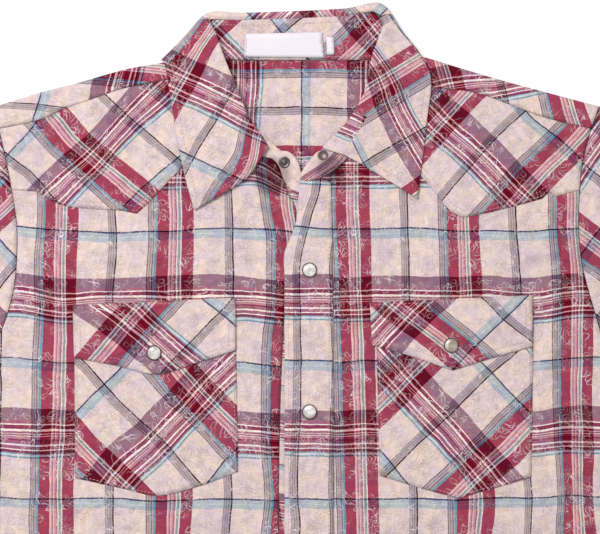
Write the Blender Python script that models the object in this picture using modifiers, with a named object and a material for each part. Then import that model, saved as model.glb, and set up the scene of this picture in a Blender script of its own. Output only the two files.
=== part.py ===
"""A western snap shirt, laid flat on its back with the collar open.

The shirt lies in the XY plane with +Z up: the collar points to +Y, the wearer's
left front (at +X) laps over the other, and the underside rests on Z = 0. Tables
and sizes are in millimetres, from the middle of the back neck seam. The last
step moves the whole shirt, so that its origin is the middle of its base.
"""
import math

import bpy
from mathutils import Vector
from mathutils.geometry import delaunay_2d_cdt

MM = 0.001

# Cloth
CLOTH = 1.0  # a wall of cloth
SEAM = 0.3  # the gap where two pieces are sewn edge to edge
LAYER = 1.4  # from one layer to the next where they lie on each other
LATTICE = 21.0  # spacing of the points inside a panel
BACK_LATTICE = 42.0  # and inside the back, which lies flat
FOLD_STEP = 13.0  # spacing of the rows round a folded shoulder
FOLD_CLEAR = 11.0  # those rows have no lattice points this near them
FOLD = 2.5  # outer radius of a folded edge
LOFT = 1.6  # how far the chest stands off the back
LOFT_REACH = 85.0  # inside the side seams, where it has risen to that
LOFT_HEM = (-770.0, -660.0)  # y over which it comes down to the hem
ROLL_REACH = 62.0  # how far below a shoulder's edge its roll has come down
LEAF_UNDER_Y = (-46.0, -14.0)  # the hidden leaf lifts the yoke above these
LEAF_UNDER_X = (112.0, 165.0)  # and between these, on either side
LAP_CLIMB = (34.0, 84.0)  # x over which the right front climbs onto the underlap

# Lengths of the cut
NECK_POINT_X = 78.0
SHOULDER_RUN = 160.0
ARM_X = 220.0  # past this, a point is on the armhole
YOKE_SEAM_Y = -132.0
HEM_SIDE_Y = -695.0
FRONT_TAIL = 65.0  # the hem's drop from the side seam to the middle
BACK_TAIL = 85.0
SLEEVE_LENGTH = 575.0
CUFF_LENGTH = 62.0
CUFF_WIDTH = 122.0
SLEEVE_END_WIDTH = 132.0
SLEEVE_CROWN = 5.4
SLEEVE_ANGLE = {"left": 38.0, "right": 29.0}  # below the horizontal
SLEEVE_BEND = 9.0  # degrees more at the cuff
SLEEVE_STEPS = 14
SLEEVE_BOW = 10.0  # how far the underarm seam bows in
SLEEVE_RISE = 0.22  # share of the length over which it swells from the armhole
PLACKET_EDGE = -10.0
PLACKET_WIDTH = 37.5
UNDERLAP_EDGE = -8.0
UNDERLAP_REACH = 28.0

# y, then x of the left front's, the right front's and the back's armhole
ARMHOLE = [
    (-37, 240, 241, 240),
    (-55, 238, 235, 238),
    (-83, 232, 228, 236),
    (-104, 228, 226, 235),
    (-132, 224, 225, 235),
    (-158, 224, 227, 236),
    (-181, 226, 232, 238),
    (-205, 232, 239, 241),
    (-225, 240, 245, 245),
    (-262, 254, 257, 256),
    (-298, 270, 270, 270),
]

# y and half width of the body below the armhole
SIDE = [(-298, 270), (-380, 264), (-470, 260), (-560, 262), (-650, 267), (-695, 270)]

# x and share of the tail's drop along half a hem
HEM = [(270, 0.0), (252, 0.03), (215, 0.24), (170, 0.58), (110, 0.87), (50, 0.98), (0, 1.0)]

# x and y along the top of each shoulder, from the neck point out
SHOULDER = {
    "left": [(-78, 6), (-105, -2), (-129, -6), (-146, -10), (-174, -18), (-205, -26), (-240, -37)],
    "right": [(79, 8), (102, 2), (128, -6), (162, -16), (199, -26), (229, -34), (241, -37)],
}

# x and y along the seam of yoke and front, from the neck out
FRONT_SEAM = {
    "left": [(-81.5, -11), (-109, -17), (-139, -23), (-160, -30), (-183, -38), (-206, -48), (-238, -55)],
    "right": [(83.5, -15), (107, -22), (136, -25), (155, -30), (178, -39), (205, -48), (235, -55)],
}

# x and y of the seam of stand and front, from the shoulder seam to the front edge
FRONT_NECK = {
    "left": [(-81, -11), (-80, -22), (-75, -38), (-63, -57), (-45, -71), (-31, -77),
             (-20, -79), (-14, -86), (-10, -95), (-3, -97), (3, -97)],
    "right": [(83, -15), (81, -26), (76, -42), (66, -57), (52, -70), (42, -75),
              (36, -78), (24, -84), (14, -89), (8, -92), (3, -96)],
}

# the lower edge of each front yoke, from the armhole to the edge under the collar
YOKE_EDGE = {
    "left": [(-228, -104), (-209, -105), (-201, -110), (-188, -116), (-166, -119), (-145, -120),
             (-128, -123), (-118, -114), (-110, -105), (-94, -88), (-78, -70), (-63, -57)],
    "right": [(226, -104), (207, -109), (202, -105), (196, -111), (174, -117), (149, -123),
              (132, -126), (120, -119), (115, -112), (95, -88), (80, -70), (66, -57)],
}

# the top placket's free edge, where it opens towards the collar
PLACKET_TOP = [(3, -96), (0, -120), (-1, -131), (-6, -144), (-10, -154), (-10, -175)]
UNDERLAP_TOP = [(-10.5, -95.8), (-6, -108), (-1, -118), (0, -132), (-5, -155), (-8, -175)]

# corners of pockets and flaps, clockwise from the upper left
POCKET = {
    "left": [(-178, -206), (-49, -204), (-47, -329), (-83, -342), (-114, -348), (-137, -343), (-177, -334)],
    "right": [(63, -204), (189, -200), (187, -333), (158, -342), (129, -350), (98, -342), (66, -332)],
}
FLAP = {
    "left": [(-179, -196), (-49, -190), (-49, -232), (-80, -242), (-112, -251), (-145, -244), (-178, -238)],
    "right": [(58, -194), (188, -188), (188, -229), (156, -238), (124, -248), (92, -237), (60, -228)],
}

# soft ridges over the chest and belly: both ends, height and width
RIDGES = [
    (-205, -150, -120, -185, 1.5, 38),
    (205, -160, 110, -150, 1.3, 36),
    (-215, -280, -90, -420, 1.5, 42),
    (210, -300, 120, -430, 1.6, 40),
    (-150, -470, -60, -640, 1.4, 45),
    (160, -520, 80, -660, 1.4, 44),
    (-60, -130, -30, -300, 1.0, 36),
    (70, -390, 60, -560, 1.2, 40),
]

# the collar leaf where it lies on the fronts, from its front end to the shoulder: the roll's
# and the edge's x and y on both sides, and the height of the roll. The last edges lie past
# the fold line, before the leaf is folded under.
LEAF = [
    # roll left, edge left, roll right, edge right, height of the roll
    ((-14, -71), (-82, -120), (20, -69), (96, -111), 8.6),
    ((-26, -58), (-87, -103), (29, -58), (98, -95), 9.8),
    ((-38, -46), (-92, -82), (38, -46), (101, -73), 11.0),
    ((-48, -22), (-97, -55), (53, -22), (104, -46), 12.8),
    ((-57, 0), (-101, -30), (59, 1), (107, -22), 13.4),
    ((-63, 17), (-105, -6), (64, 15), (105, -6), 12.6),
    ((-66, 24), (-110, 1), (67, 23), (106, 6), 11.4),
    ((-68, 28), (-114, 6), (68, 27), (111, 11), 10.6),
    ((-69, 31), (-118, 10), (69, 30), (115, 15), 10.0),
]
# the line along which each side of the leaf folds under the shoulder
LEAF_FOLD = {"left": ((-71, 39), (-107.5, 2.5)), "right": ((67, 45), (107.5, 4.5))}
LEAF_RADIUS = 4.6
LEAF_ROLL = [(0.9, 2.6), (0.2, 1.5), (1.0, 0.5), (3.5, 0.0)]  # distance out and drop
LEAF_SHARES = [0.25, 0.45, 0.65, 0.83, 1.0]  # of its width, outside the roll
# where the leaf folds under the neck: x and y of its seam, its crest, its fold and three
# points under the shirt, and the height of the crest
LEAF_UNDER = [
    ((-66, 33), (-69, 36), (-71, 39), (-74, 26), (-79, 8), (-84, -10), 8.3),
    ((-43, 32.6), (-42, 36), (-41, 40), (-41, 26), (-42, 8), (-43, -10), 6.9),
    ((0, 33.6), (0, 37), (0, 41), (0, 26), (0, 8), (0, -10), 6.9),
    ((40, 36.6), (39, 39), (38, 43), (39, 28), (40, 9), (41, -10), 6.9),
    ((61, 38), (64, 40), (67, 45), (71, 28), (77, 8), (83, -10), 8.3),
]
# the stand on the fronts, from the end of a tab to the shoulder: its upper edge
STAND_TOP = {
    "left": [(3, -90, 3.5), (0, -80, 3.9), (-6, -74, 4.3), (-10, -73, 4.4), (-14, -72, 4.6), (-20, -66, 5.2),
             (-27, -59, 5.8), (-39, -47, 7.0), (-49.5, -22.5, 8.6), (-54, -11, 9.0), (-58.5, -0.5, 9.2)],
    "right": [(3, -92, 3.5), (6, -86, 3.9), (12, -78, 4.3), (16, -74, 4.4), (20, -70, 4.6), (25, -65, 5.2),
              (30, -59, 5.8), (39, -47, 7.0), (54.5, -22.5, 8.6), (57.5, -11, 9.0), (60.5, 0.5, 9.2)],
}
# the stand behind the neck, from the left shoulder to the right: its upper edge, its seam
STAND_BACK = [
    ((-64.5, 16, 8.6), (-77.2, -2, 5.5)),
    ((-67, 27, 7.2), (-75.0, 4.5, 3.8)),
    ((-65, 32, 6.0), (-60, 1, 2.4)),
    ((-43, 32, 5.6), (-40, 0, 2.4)),
    ((0, 33, 5.6), (0, 0, 2.4)),
    ((40, 36, 5.6), (38, 0, 2.4)),
    ((61, 37, 6.0), (62, 1, 2.4)),
    ((67, 26, 7.2), (75.8, 6, 3.8)),
    ((65.5, 14, 8.6), (78.6, -1, 5.5)),
]

# the snaps
SNAP_PITCH = 113.0
FIRST_SNAP = (10.0, -168.0)
FRONT_SNAPS = 5
SNAP_RADIUS = 6.0
SNAP_SIDES = 16
FLAP_SNAP = {"left": (-114.0, -234.0), "right": (123.0, -228.0)}
# the metal parts on the stand's tabs: profile, place and tilt in degrees
TAB_SNAPS = {
    "snap_stand_stud": ("stud", (-10.0, -82.0, 5.15), 3.5),
    "snap_stand_back": ("cup", (20.5, -76.2, 5.8), 0.0),
}
# the turned profiles: radius and height, from the top down
PROFILES = {
    "pearl": [(0, 2.9), (3.4, 2.6), (4.8, 2.0), (5.5, 2.1), (6.0, 1.2), (5.7, 0), (0, 0)],
    "stud": [(0, 2.0), (1.5, 1.9), (1.9, 1.1), (3.4, 1.3), (4.4, 0.9), (4.6, 0), (0, 0)],
    "cup": [(0, 0.5), (2.4, 0.6), (3.0, 1.4), (3.8, 1.3), (4.2, 0), (0, 0)],
}

# corners of the neck label and the size tab
LABEL = [(-41, 20.6), (20, 21.8), (21.6, 1.6), (-42.2, 2.4)]
SIZE_TAB = [(23.4, 18), (29.4, 18), (29.8, 4), (23.8, 4)]

COLOURS = {
    "cloth": ((0.62, 0.47, 0.47, 1), 0.85, 0.0),
    "label": ((0.86, 0.82, 0.84, 1), 0.7, 0.0),
    "pearl": ((0.78, 0.74, 0.72, 1), 0.25, 0.0),
    "snap_metal": ((0.24, 0.23, 0.22, 1), 0.35, 1.0),
}


# ---------------------------------------------------------------- helpers
def smoothstep(low, high, value):
    """0 below low, 1 above high, and a soft rise between them."""
    share = min(1.0, max(0.0, (value - low) / (high - low)))
    return share * share * (3 - 2 * share)


def along(rows, value):
    """The second column of rows at a value of the first, straight between rows."""
    rows = sorted(rows)
    if value <= rows[0][0]:
        return rows[0][1]
    for (x0, y0), (x1, y1) in zip(rows, rows[1:]):
        if value <= x1:
            return y0 + (y1 - y0) * (value - x0) / (x1 - x0)
    return rows[-1][1]


def smooth(points, parts):
    """A Catmull-Rom curve through the points, each stretch in equal parts."""
    points = [Vector(point) for point in points]
    ends = [2 * points[0] - points[1]] + points + [2 * points[-1] - points[-2]]
    curve = []
    for a, b, c, d in zip(ends, ends[1:], ends[2:], ends[3:]):
        for step in range(parts):
            t = step / parts
            curve.append(0.5 * (2 * b + (c - a) * t + (2 * a - 5 * b + 4 * c - d) * t * t
                                + (3 * b - a - 3 * c + d) * t ** 3))
    return curve + [points[-1]]


def beside(points, distance):
    """The same line moved sideways, to its left as it runs."""
    moved = []
    for index, point in enumerate(points):
        before = Vector(points[max(index - 1, 0)][:2])
        after = Vector(points[min(index + 1, len(points) - 1)][:2])
        run = (after - before).normalized()
        moved.append((point[0] - run.y * distance, point[1] + run.x * distance))
    return moved


def inside(outline, x, y):
    """Whether a point lies inside a closed outline."""
    within = False
    for (x0, y0), (x1, y1) in zip(outline, outline[1:] + outline[:1]):
        if (y0 > y) != (y1 > y) and x < x0 + (x1 - x0) * (y - y0) / (y1 - y0):
            within = not within
    return within


def clearance(outline, x, y):
    """The distance from a point to an outline."""
    nearest = math.inf
    spot = Vector((x, y))
    for start, end in zip(outline, outline[1:] + outline[:1]):
        start, side = Vector(start), Vector(end) - Vector(start)
        share = min(1.0, max(0.0, (spot - start).dot(side) / max(side.length_squared, 1e-9)))
        nearest = min(nearest, (spot - start - share * side).length)
    return nearest


def stepped(points, longest=FOLD_STEP):
    """An open line whose stretches are no longer than longest."""
    line = []
    for start, end in zip(points, points[1:]):
        start, end = Vector(start[:2]), Vector(end[:2])
        parts = max(1, math.ceil((end - start).length / longest))
        line += [tuple(start.lerp(end, step / parts)) for step in range(parts)]
    return line + [tuple(points[-1][:2])]


def filled(outline, spacing=LATTICE, extra=(), bare=None):
    """Points and triangles of a flat piece: its outline, filled over a lattice. Extra points
    take the lattice's place where bare says so."""
    outline = stepped(list(outline) + [outline[0]], spacing)[:-1]
    left, right = min(p[0] for p in outline), max(p[0] for p in outline)
    low, high = min(p[1] for p in outline), max(p[1] for p in outline)
    spots = []
    for row in range(int((high - low) / spacing) + 2):
        for column in range(int((right - left) / spacing) + 2):
            spots.append((left + (column + 0.5 * (row % 2)) * spacing, low + row * spacing))
    if bare:
        spots = [spot for spot in spots if not bare(*spot)]
    spots = [spot for spot in spots
             if inside(outline, *spot) and clearance(outline, *spot) > spacing * 0.42]
    spots += [spot for spot in extra if inside(outline, *spot) and clearance(outline, *spot) > 1]
    points = [Vector(point) for point in outline + spots]
    edges = [(index, (index + 1) % len(outline)) for index in range(len(outline))]
    points, _, faces, *_ = delaunay_2d_cdt(points, edges, [], 1, 1e-5)
    return [(point.x, point.y) for point in points], faces


def material(slot):
    """The slot's Principled material, made once."""
    found = bpy.data.materials.get(slot)
    if found:
        return found
    colour, roughness, metallic = COLOURS[slot]
    made = bpy.data.materials.new(slot)
    made.use_nodes = True
    shader = made.node_tree.nodes["Principled BSDF"]
    shader.inputs["Base Color"].default_value = colour
    shader.inputs["Roughness"].default_value = roughness
    shader.inputs["Metallic"].default_value = metallic
    return made


def piece(name, points, faces, slot):
    """A named object from points in millimetres."""
    mesh = bpy.data.meshes.new(name)
    mesh.from_pydata([Vector(point) * MM for point in points], [], faces)
    mesh.materials.append(material(slot))
    mesh.shade_smooth()
    made = bpy.data.objects.new(name, mesh)
    shirt.objects.link(made)
    return made


def cloth(name, points, faces, slot="cloth"):
    """A wall of cloth, whose outer face is the given surface."""
    made = piece(name, points, faces, slot)
    thick = made.modifiers.new("Wall", "SOLIDIFY")
    thick.thickness = CLOTH * MM
    thick.offset = -1
    return made


def panel(name, outline, height, slot="cloth"):
    """A piece that lies flat, its top at the given height over each point."""
    flat, faces = filled(outline)
    return cloth(name, [(x, y, height(x, y)) for x, y in flat], faces, slot)


def loft(name, sections, closed=False):
    """A wall through sections that all have the same number of points."""
    count = len(sections[0])
    points = [point for section in sections for point in section]
    faces = []
    for row in range(len(sections) - 1):
        for column in range(count if closed else count - 1):
            a = row * count + column
            b = row * count + (column + 1) % count
            faces.append((a, a + count, b + count, b))
    return cloth(name, points, faces)


# ---------------------------------------------------------------- heights
TOP_EDGE = {side: [tuple(spot) for spot in smooth(rows, 4)] for side, rows in SHOULDER.items()}


def mirror_of(side):
    return -1 if side == "left" else 1


def shoulder_y(x):
    """The top edge of the shirt over x."""
    return along(TOP_EDGE["left" if x < 0 else "right"], x)


def body_half_width(y):
    """Half the body's width over its whole length."""
    if y > ARMHOLE[-1][0]:
        return along([(row[0], row[1]) for row in ARMHOLE], y)
    return along(SIDE, y)


def collar_lift(x, y):
    """How far the yoke rides up over the part of the leaf that lies under it."""
    return LAYER * smoothstep(*LEAF_UNDER_Y, y) * (1 - smoothstep(*LEAF_UNDER_X, abs(x)))


def top(x, y):
    """The height of the upper face of the fronts."""
    flat = LAYER + CLOTH + collar_lift(x, y)
    edge = body_half_width(y) - abs(x)
    rise = LOFT * smoothstep(0, LOFT_REACH, edge) * smoothstep(*LOFT_HEM, y)
    for x0, y0, x1, y1, height, width in RIDGES:
        start, run = Vector((x0, y0)), Vector((x1 - x0, y1 - y0))
        share = min(1.0, max(0.0, (Vector((x, y)) - start).dot(run) / run.length_squared))
        gap = (Vector((x, y)) - start - share * run).length
        rise += height * math.exp(-(gap / width) ** 2) * smoothstep(0, ROLL_REACH, edge)
    drop = shoulder_y(x) - y
    roll = (2 * FOLD + collar_lift(x, y) - flat - rise) * (1 - smoothstep(FOLD, ROLL_REACH, drop))
    return flat + rise + max(roll, 0.0)


def right_top(x, y):
    """The right front climbs over the underlap at the centre."""
    return top(x, y) + LAYER * (1 - smoothstep(*LAP_CLIMB, x))


def front_top(side, layers):
    """The height of what lies so many layers above a front."""
    under = top if side == "left" else right_top
    return lambda x, y: under(x, y) + layers * LAYER


# ---------------------------------------------------------------- body
def armhole(side, layer):
    """The armhole's points from the shoulder down, on the front or the back."""
    column = 3 if layer == "back" else (1 if side == "left" else 2)
    return [(mirror_of(side) * row[column], row[0]) for row in ARMHOLE]


def side_seam(side):
    """The side seam's points from the underarm to the hem."""
    return [(mirror_of(side) * half, y) for y, half in SIDE]


def hem(side, drop):
    """Half of a curved hem, from the side seam to the middle."""
    return [(mirror_of(side) * x, HEM_SIDE_Y - share * drop) for x, share in HEM]


def back():
    """The lower back panel, outer face down on the surface."""
    outline = []
    for side in ("left", "right"):
        arm = [point for point in armhole(side, "back") if point[1] <= YOKE_SEAM_Y]
        arm = beside(arm, -SEAM * mirror_of(side))
        arm[0] = (arm[0][0], YOKE_SEAM_Y - SEAM)
        half = arm + side_seam(side)[1:] + hem(side, BACK_TAIL)[1:-1]
        outline += half if side == "left" else [(0, HEM_SIDE_Y - BACK_TAIL)] + half[::-1]
    flat, faces = filled(outline, BACK_LATTICE)
    return cloth("back", [(x, y, 0) for x, y in flat], [face[::-1] for face in faces])


TURNS = [-math.pi / 2, -math.pi / 4, 0, math.pi / 4, math.pi / 2]  # points round a fold


def yoke_place(x, across):
    """A point of the back yoke: across is the distance along the cloth from the top edge,
    below zero on the back and above zero on the front."""
    edge = shoulder_y(x)
    lift = collar_lift(x, edge)
    quarter = math.pi * FOLD / 2
    if abs(across) <= quarter:
        turn = across / FOLD
        return (x, edge - FOLD + FOLD * math.cos(turn), lift + FOLD + FOLD * math.sin(turn))
    y = edge - FOLD - (abs(across) - quarter)
    return (x, y, collar_lift(x, y)) if across < 0 else (x, y, top(x, y))


def yoke_across(x, y, layer):
    """The distance along the cloth from the top edge to a point on one of the layers."""
    distance = shoulder_y(x) - FOLD - y + math.pi * FOLD / 2
    return -distance if layer == "back" else distance


def back_yoke():
    """The back yoke, folded over the shoulders to its seam on the fronts."""
    outline = []
    for side in ("left", "right"):
        inward = -SEAM * mirror_of(side)
        under = [(0, YOKE_SEAM_Y)] + armhole(side, "back")[4:0:-1]
        over = [armhole(side, "front")[1]] + FRONT_SEAM[side][-2::-1]
        neck = STAND_BACK[2:5] if side == "left" else STAND_BACK[6:4:-1]
        half = [(x, yoke_across(x, y, "back")) for x, y in stepped(under)]
        half += [(armhole(side, "front")[0][0], turn * FOLD) for turn in TURNS]
        half += [(x, yoke_across(x, y, "front")) for x, y in stepped(over)]
        half = [(x if abs(x) < ARM_X else x + inward, across) for x, across in half]
        half += [(SHOULDER[side][0][0], turn * FOLD) for turn in TURNS[::-1]]
        half += [(x, yoke_across(x, y - 2 * SEAM, "back")) for _, (x, y, _) in neck]
        outline += half if side == "left" else half[:0:-1]
    folds = []
    for sign in (-1, 1):
        for step in range(1, int(SHOULDER_RUN / FOLD_STEP) + 1):
            x = sign * (NECK_POINT_X + step * FOLD_STEP)
            folds += [(x, turn * FOLD) for turn in TURNS]
    flat, faces = filled(outline, extra=folds,
                         bare=lambda x, w: abs(x) > NECK_POINT_X and abs(w) < FOLD_CLEAR)
    return cloth("back_yoke", [yoke_place(x, across) for x, across in flat],
                 [face[::-1] for face in faces])


def neck_line(side):
    """The seam of stand and front, from the shoulder seam to the front edge."""
    return [tuple(point) for point in smooth(FRONT_NECK[side], 2)]


def front(side):
    """A front, from the shoulder seam to the hem."""
    sign = mirror_of(side)
    seam = beside(stepped(FRONT_SEAM[side]), SEAM * sign * -1)
    arm = beside(armhole(side, "front")[1:], SEAM * sign * -1)
    neck = beside(neck_line(side), SEAM * sign)
    arm[0] = (arm[0][0], seam[-1][1])
    low = hem(side, FRONT_TAIL)
    if side == "left":
        neck = neck[:16]
        edge = beside(UNDERLAP_TOP, -SEAM)
        centre = edge + [(UNDERLAP_EDGE - SEAM, HEM_SIDE_Y - FRONT_TAIL)]
        low = low[:-1]
    else:
        centre = PLACKET_TOP[1:] + [(PLACKET_EDGE, HEM_SIDE_Y - FRONT_TAIL)]
    neck[0] = (neck[0][0], seam[0][1])
    outline = seam[:-1] + arm + side_seam(side)[1:] + low[1:] + centre[::-1] + neck[:0:-1]
    if side == "right":
        outline = outline[::-1]
    return panel(f"front_{side}", outline, front_top(side, 0))


def front_yoke(side):
    """A pointed yoke, laid on the front below the shoulder seam."""
    sign = mirror_of(side)
    seam = beside(stepped(FRONT_SEAM[side]), SEAM * sign * -1)
    arm = beside(armhole(side, "front")[1:4], SEAM * sign * -1)
    neck = beside(neck_line(side)[:7], SEAM * sign)
    edge = YOKE_EDGE[side]
    corner = [(arm[-1][0], edge[0][1])]
    arm[0] = (arm[0][0], seam[-1][1])
    outline = seam[:-1] + arm[:-1] + corner + edge[1:-1] + neck[:0:-1]
    if side == "right":
        outline = outline[::-1]
    return panel(f"front_yoke_{side}", outline, front_top(side, 1))


def placket():
    """The top placket, laid along the right front's edge."""
    inner = PLACKET_EDGE + PLACKET_WIDTH
    low = HEM_SIDE_Y - FRONT_TAIL + 0.5
    outline = PLACKET_TOP + [(PLACKET_EDGE, low), (inner, low), (inner, -110), (inner - 1, -87)]
    outline += [(24, -85), (14, -90), (8, -93)]
    return panel("placket", outline, front_top("right", 1))


def placket_under():
    """The underlap's band, sewn to the left front's edge."""
    low = HEM_SIDE_Y - FRONT_TAIL
    outline = UNDERLAP_TOP + [(UNDERLAP_EDGE, low), (UNDERLAP_REACH, low), (UNDERLAP_REACH, -200)]
    outline += [(18, -140), (3, -97.6), (-3, -97.6)]
    return panel("placket_under", outline, top)


def pocket(side):
    return panel(f"pocket_{side}", POCKET[side], front_top(side, 1))


def flap(side):
    return panel(f"flap_{side}", FLAP[side], front_top(side, 2))


# ---------------------------------------------------------------- sleeves
def sleeve_axis(side, along_top):
    """Direction of a sleeve at a distance from the shoulder, and the way across it."""
    angle = math.radians(SLEEVE_ANGLE[side] + SLEEVE_BEND * along_top / SLEEVE_LENGTH)
    run = Vector((mirror_of(side) * math.cos(angle), -math.sin(angle)))
    across = Vector((-mirror_of(side) * math.sin(angle), -math.cos(angle)))
    return run, across


def ring(upper, lower, fronts, backs, crown, lower_fold, upper_fold):
    """One closed ring of a flattened tube: over the top from the upper fold to the lower one,
    then back along the surface. fronts and backs are the points between the folds."""
    points = []
    away = (upper - lower).normalized()
    for turn in (-90, -45, 0, 45, 90):
        turn = math.radians(turn)
        spot = upper + away * upper_fold * (math.cos(turn) - 1)
        points.append((spot.x, spot.y, upper_fold * (1 + math.sin(turn))))
    points += [(spot.x, spot.y, height) for spot, height in zip(fronts, crown)]
    for turn in (90, 0, -90):
        turn = math.radians(turn)
        spot = lower - away * lower_fold * (math.cos(turn) - 1)
        points.append((spot.x, spot.y, lower_fold * (1 + math.sin(turn))))
    return points + [(spot.x, spot.y, 0) for spot in backs[::-1]]


def sleeve_rings(side):
    """The rings of a sleeve, from the armhole to the cuff, then those of the cuff."""
    out = Vector((mirror_of(side) * SEAM, 0))
    front_arm = [Vector(point) + out for point in armhole(side, "front")]
    back_arm = [Vector(point) + out for point in armhole(side, "back")]
    upper, lower = front_arm[0], front_arm[-1]
    shares = [(lower.y - point.y) / (lower.y - upper.y) for point in front_arm]
    shares = [1 - share for share in shares]
    ends, spot, travelled = [], upper.copy(), 0.0
    for _ in range(SLEEVE_STEPS):
        run, across = sleeve_axis(side, travelled)
        spot = spot + run * SLEEVE_LENGTH / SLEEVE_STEPS
        travelled += SLEEVE_LENGTH / SLEEVE_STEPS
        ends.append(spot.copy())
    run, across = sleeve_axis(side, SLEEVE_LENGTH)
    last_lower = ends[-1] + across * SLEEVE_END_WIDTH
    rings = []
    for step in range(SLEEVE_STEPS + 1):
        share = step / SLEEVE_STEPS
        here_upper = upper if step == 0 else ends[step - 1]
        here_lower = lower.lerp(last_lower, share)
        here_lower = here_lower - across * math.sin(math.pi * share) * SLEEVE_BOW
        fade = (1 - share) ** 3
        fronts, backs, crown = [], [], []
        for index in range(1, len(shares) - 1):
            straight = here_upper.lerp(here_lower, shares[index])
            chord = upper.lerp(lower, shares[index])
            fronts.append(straight + (front_arm[index] - chord) * fade)
            backs.append(straight + (back_arm[index] - chord) * fade)
            seam_height = top(front_arm[index].x, front_arm[index].y)
            dome = 2 * FOLD + (SLEEVE_CROWN - 2 * FOLD) * math.sin(math.pi * shares[index])
            crown.append(seam_height + (dome - seam_height) * smoothstep(0, SLEEVE_RISE, share))
        seam_fold = (LAYER + CLOTH) / 2
        lower_fold = seam_fold + (FOLD - seam_fold) * smoothstep(0, SLEEVE_RISE, share)
        rings.append(ring(here_upper, here_lower, fronts, backs, crown, lower_fold, FOLD))
    return rings, ends[-1], run, across


def sleeve_and_cuff(side):
    """A sleeve, and its cuff 0.3 mm past its end."""
    rings, end, run, across = sleeve_rings(side)
    flip = side == "right"
    loft(f"sleeve_{side}", rings[::-1] if flip else rings, closed=True)
    inset = (SLEEVE_END_WIDTH - CUFF_WIDTH) / 2
    cuff = []
    for distance in (SEAM, CUFF_LENGTH / 3, CUFF_LENGTH * 2 / 3, CUFF_LENGTH):
        upper = end + run * distance + across * inset
        lower = upper + across * CUFF_WIDTH
        spots = [upper.lerp(lower, share) for share in (0.08, 0.29, 0.5, 0.71, 0.92)]
        cuff.append(ring(upper, lower, spots, spots, [2 * FOLD] * len(spots), FOLD, FOLD))
    loft(f"cuff_{side}", cuff[::-1] if flip else cuff, closed=True)
    return end + run * CUFF_LENGTH / 2 + across * (inset + CUFF_WIDTH * 0.8)


# ---------------------------------------------------------------- collar
def folded_under(x, y, height, side):
    """A point of the leaf, taken round the shoulder if it lies past the fold line."""
    start, end = (Vector(spot) for spot in LEAF_FOLD[side])
    run = (end - start).normalized()
    out = Vector((run.y, -run.x)) * -mirror_of(side)
    spot = Vector((x, y)) - start
    within = -spot.dot(out)
    on_line = start + run * spot.dot(run)
    if within >= LEAF_RADIUS:
        height = 2 * LEAF_RADIUS + (height - 2 * LEAF_RADIUS) * smoothstep(0, 16, within - LEAF_RADIUS)
        return (x, y, height)
    wrapped = LEAF_RADIUS - within
    if wrapped <= math.pi * LEAF_RADIUS:
        turn = math.pi / 2 - wrapped / LEAF_RADIUS
        place = on_line - out * LEAF_RADIUS * (1 - math.cos(turn))
        return (place.x, place.y, LEAF_RADIUS * (1 + math.sin(turn)))
    place = on_line - out * (LEAF_RADIUS + wrapped - math.pi * LEAF_RADIUS)
    return (place.x, place.y, 0.0)


def leaf_section(roll, edge, height, side):
    """Across the leaf where it lies on the front: up from the stand, over the roll, out to its edge."""
    roll, edge = Vector(roll), Vector(edge)
    out = (edge - roll).normalized()
    width = (edge - roll).length
    section = []
    for away, drop in LEAF_ROLL:
        spot = roll + out * away
        section.append((spot.x, spot.y, height - drop))
    lie = front_top(side, 2)
    for share in LEAF_SHARES:
        spot = roll + out * width * share
        base = lie(spot.x, spot.y) + SEAM
        fall = 1 - smoothstep(0.02, 0.8, share)
        height_here = base + max(height - base, 0) * fall
        section.append(folded_under(spot.x, spot.y, height_here, side))
    return section


def under_section(row):
    """Across the leaf where it folds under the neck: seam, crest, fold and the hidden part."""
    seam, crest, fold, *hidden, height = row
    section = [
        (*seam, height - 1.3),
        ((seam[0] + crest[0]) / 2, (seam[1] + crest[1]) / 2, height - 0.3),
        (*crest, height),
    ]
    middle = (Vector(crest) + Vector(fold)) / 2
    section.append((middle.x, middle.y, height * 0.88))
    section.append((*fold, height * 0.45))
    near = Vector(fold).lerp(Vector(hidden[0]), 0.12)
    section.append((near.x, near.y, 0.5))
    section += [(*spot, 0.0) for spot in hidden]
    return section


def collar():
    """The leaf, through sections from one front end round the back to the other."""
    sections = [leaf_section(row[0], row[1], row[4], "left") for row in LEAF]
    sections += [under_section(row) for row in LEAF_UNDER]
    sections += [leaf_section(row[2], row[3], row[4], "right") for row in LEAF[::-1]]
    columns = [smooth(column, 2) for column in zip(*sections)]
    return loft("collar", [[(x, y, max(z, 0)) for x, y, z in row] for row in zip(*columns)])


def stand_rows(side):
    """The stand on a front: pairs of a point of its seam and one of its upper edge."""
    under = front_top(side, 0)
    uppers = smooth(STAND_TOP[side], 2)
    return [((x, y, under(x, y) - CLOTH), tuple(upper))
            for (x, y), upper in zip(neck_line(side)[::-1], uppers)]


def collar_stand():
    """The stand, from the end of one tab round the neck to the other."""
    back_rows = [(seam, upper) for upper, seam in STAND_BACK]
    back_columns = [smooth(column, 2) for column in zip(*back_rows)]
    rows = stand_rows("left") + list(zip(*back_columns)) + stand_rows("right")[::-1]
    columns = [[Vector(point) for point in column] for column in zip(*rows)]
    return loft("collar_stand", [[low, low.lerp(high, 0.5), high] for low, high in zip(*columns)])


def stand_face(x, y):
    """The height of the stand's inner face behind the neck."""
    upper, seam = STAND_BACK[4]
    edge = along([(row[0][0], row[0][1]) for row in STAND_BACK[3:6]], x)
    return seam[2] + (upper[2] - seam[2]) * y / edge


def label(name, corners):
    """A bare woven label, sewn inside the stand."""
    panel(name, corners, lambda x, y: stand_face(x, y) + LAYER, "label")


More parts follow.
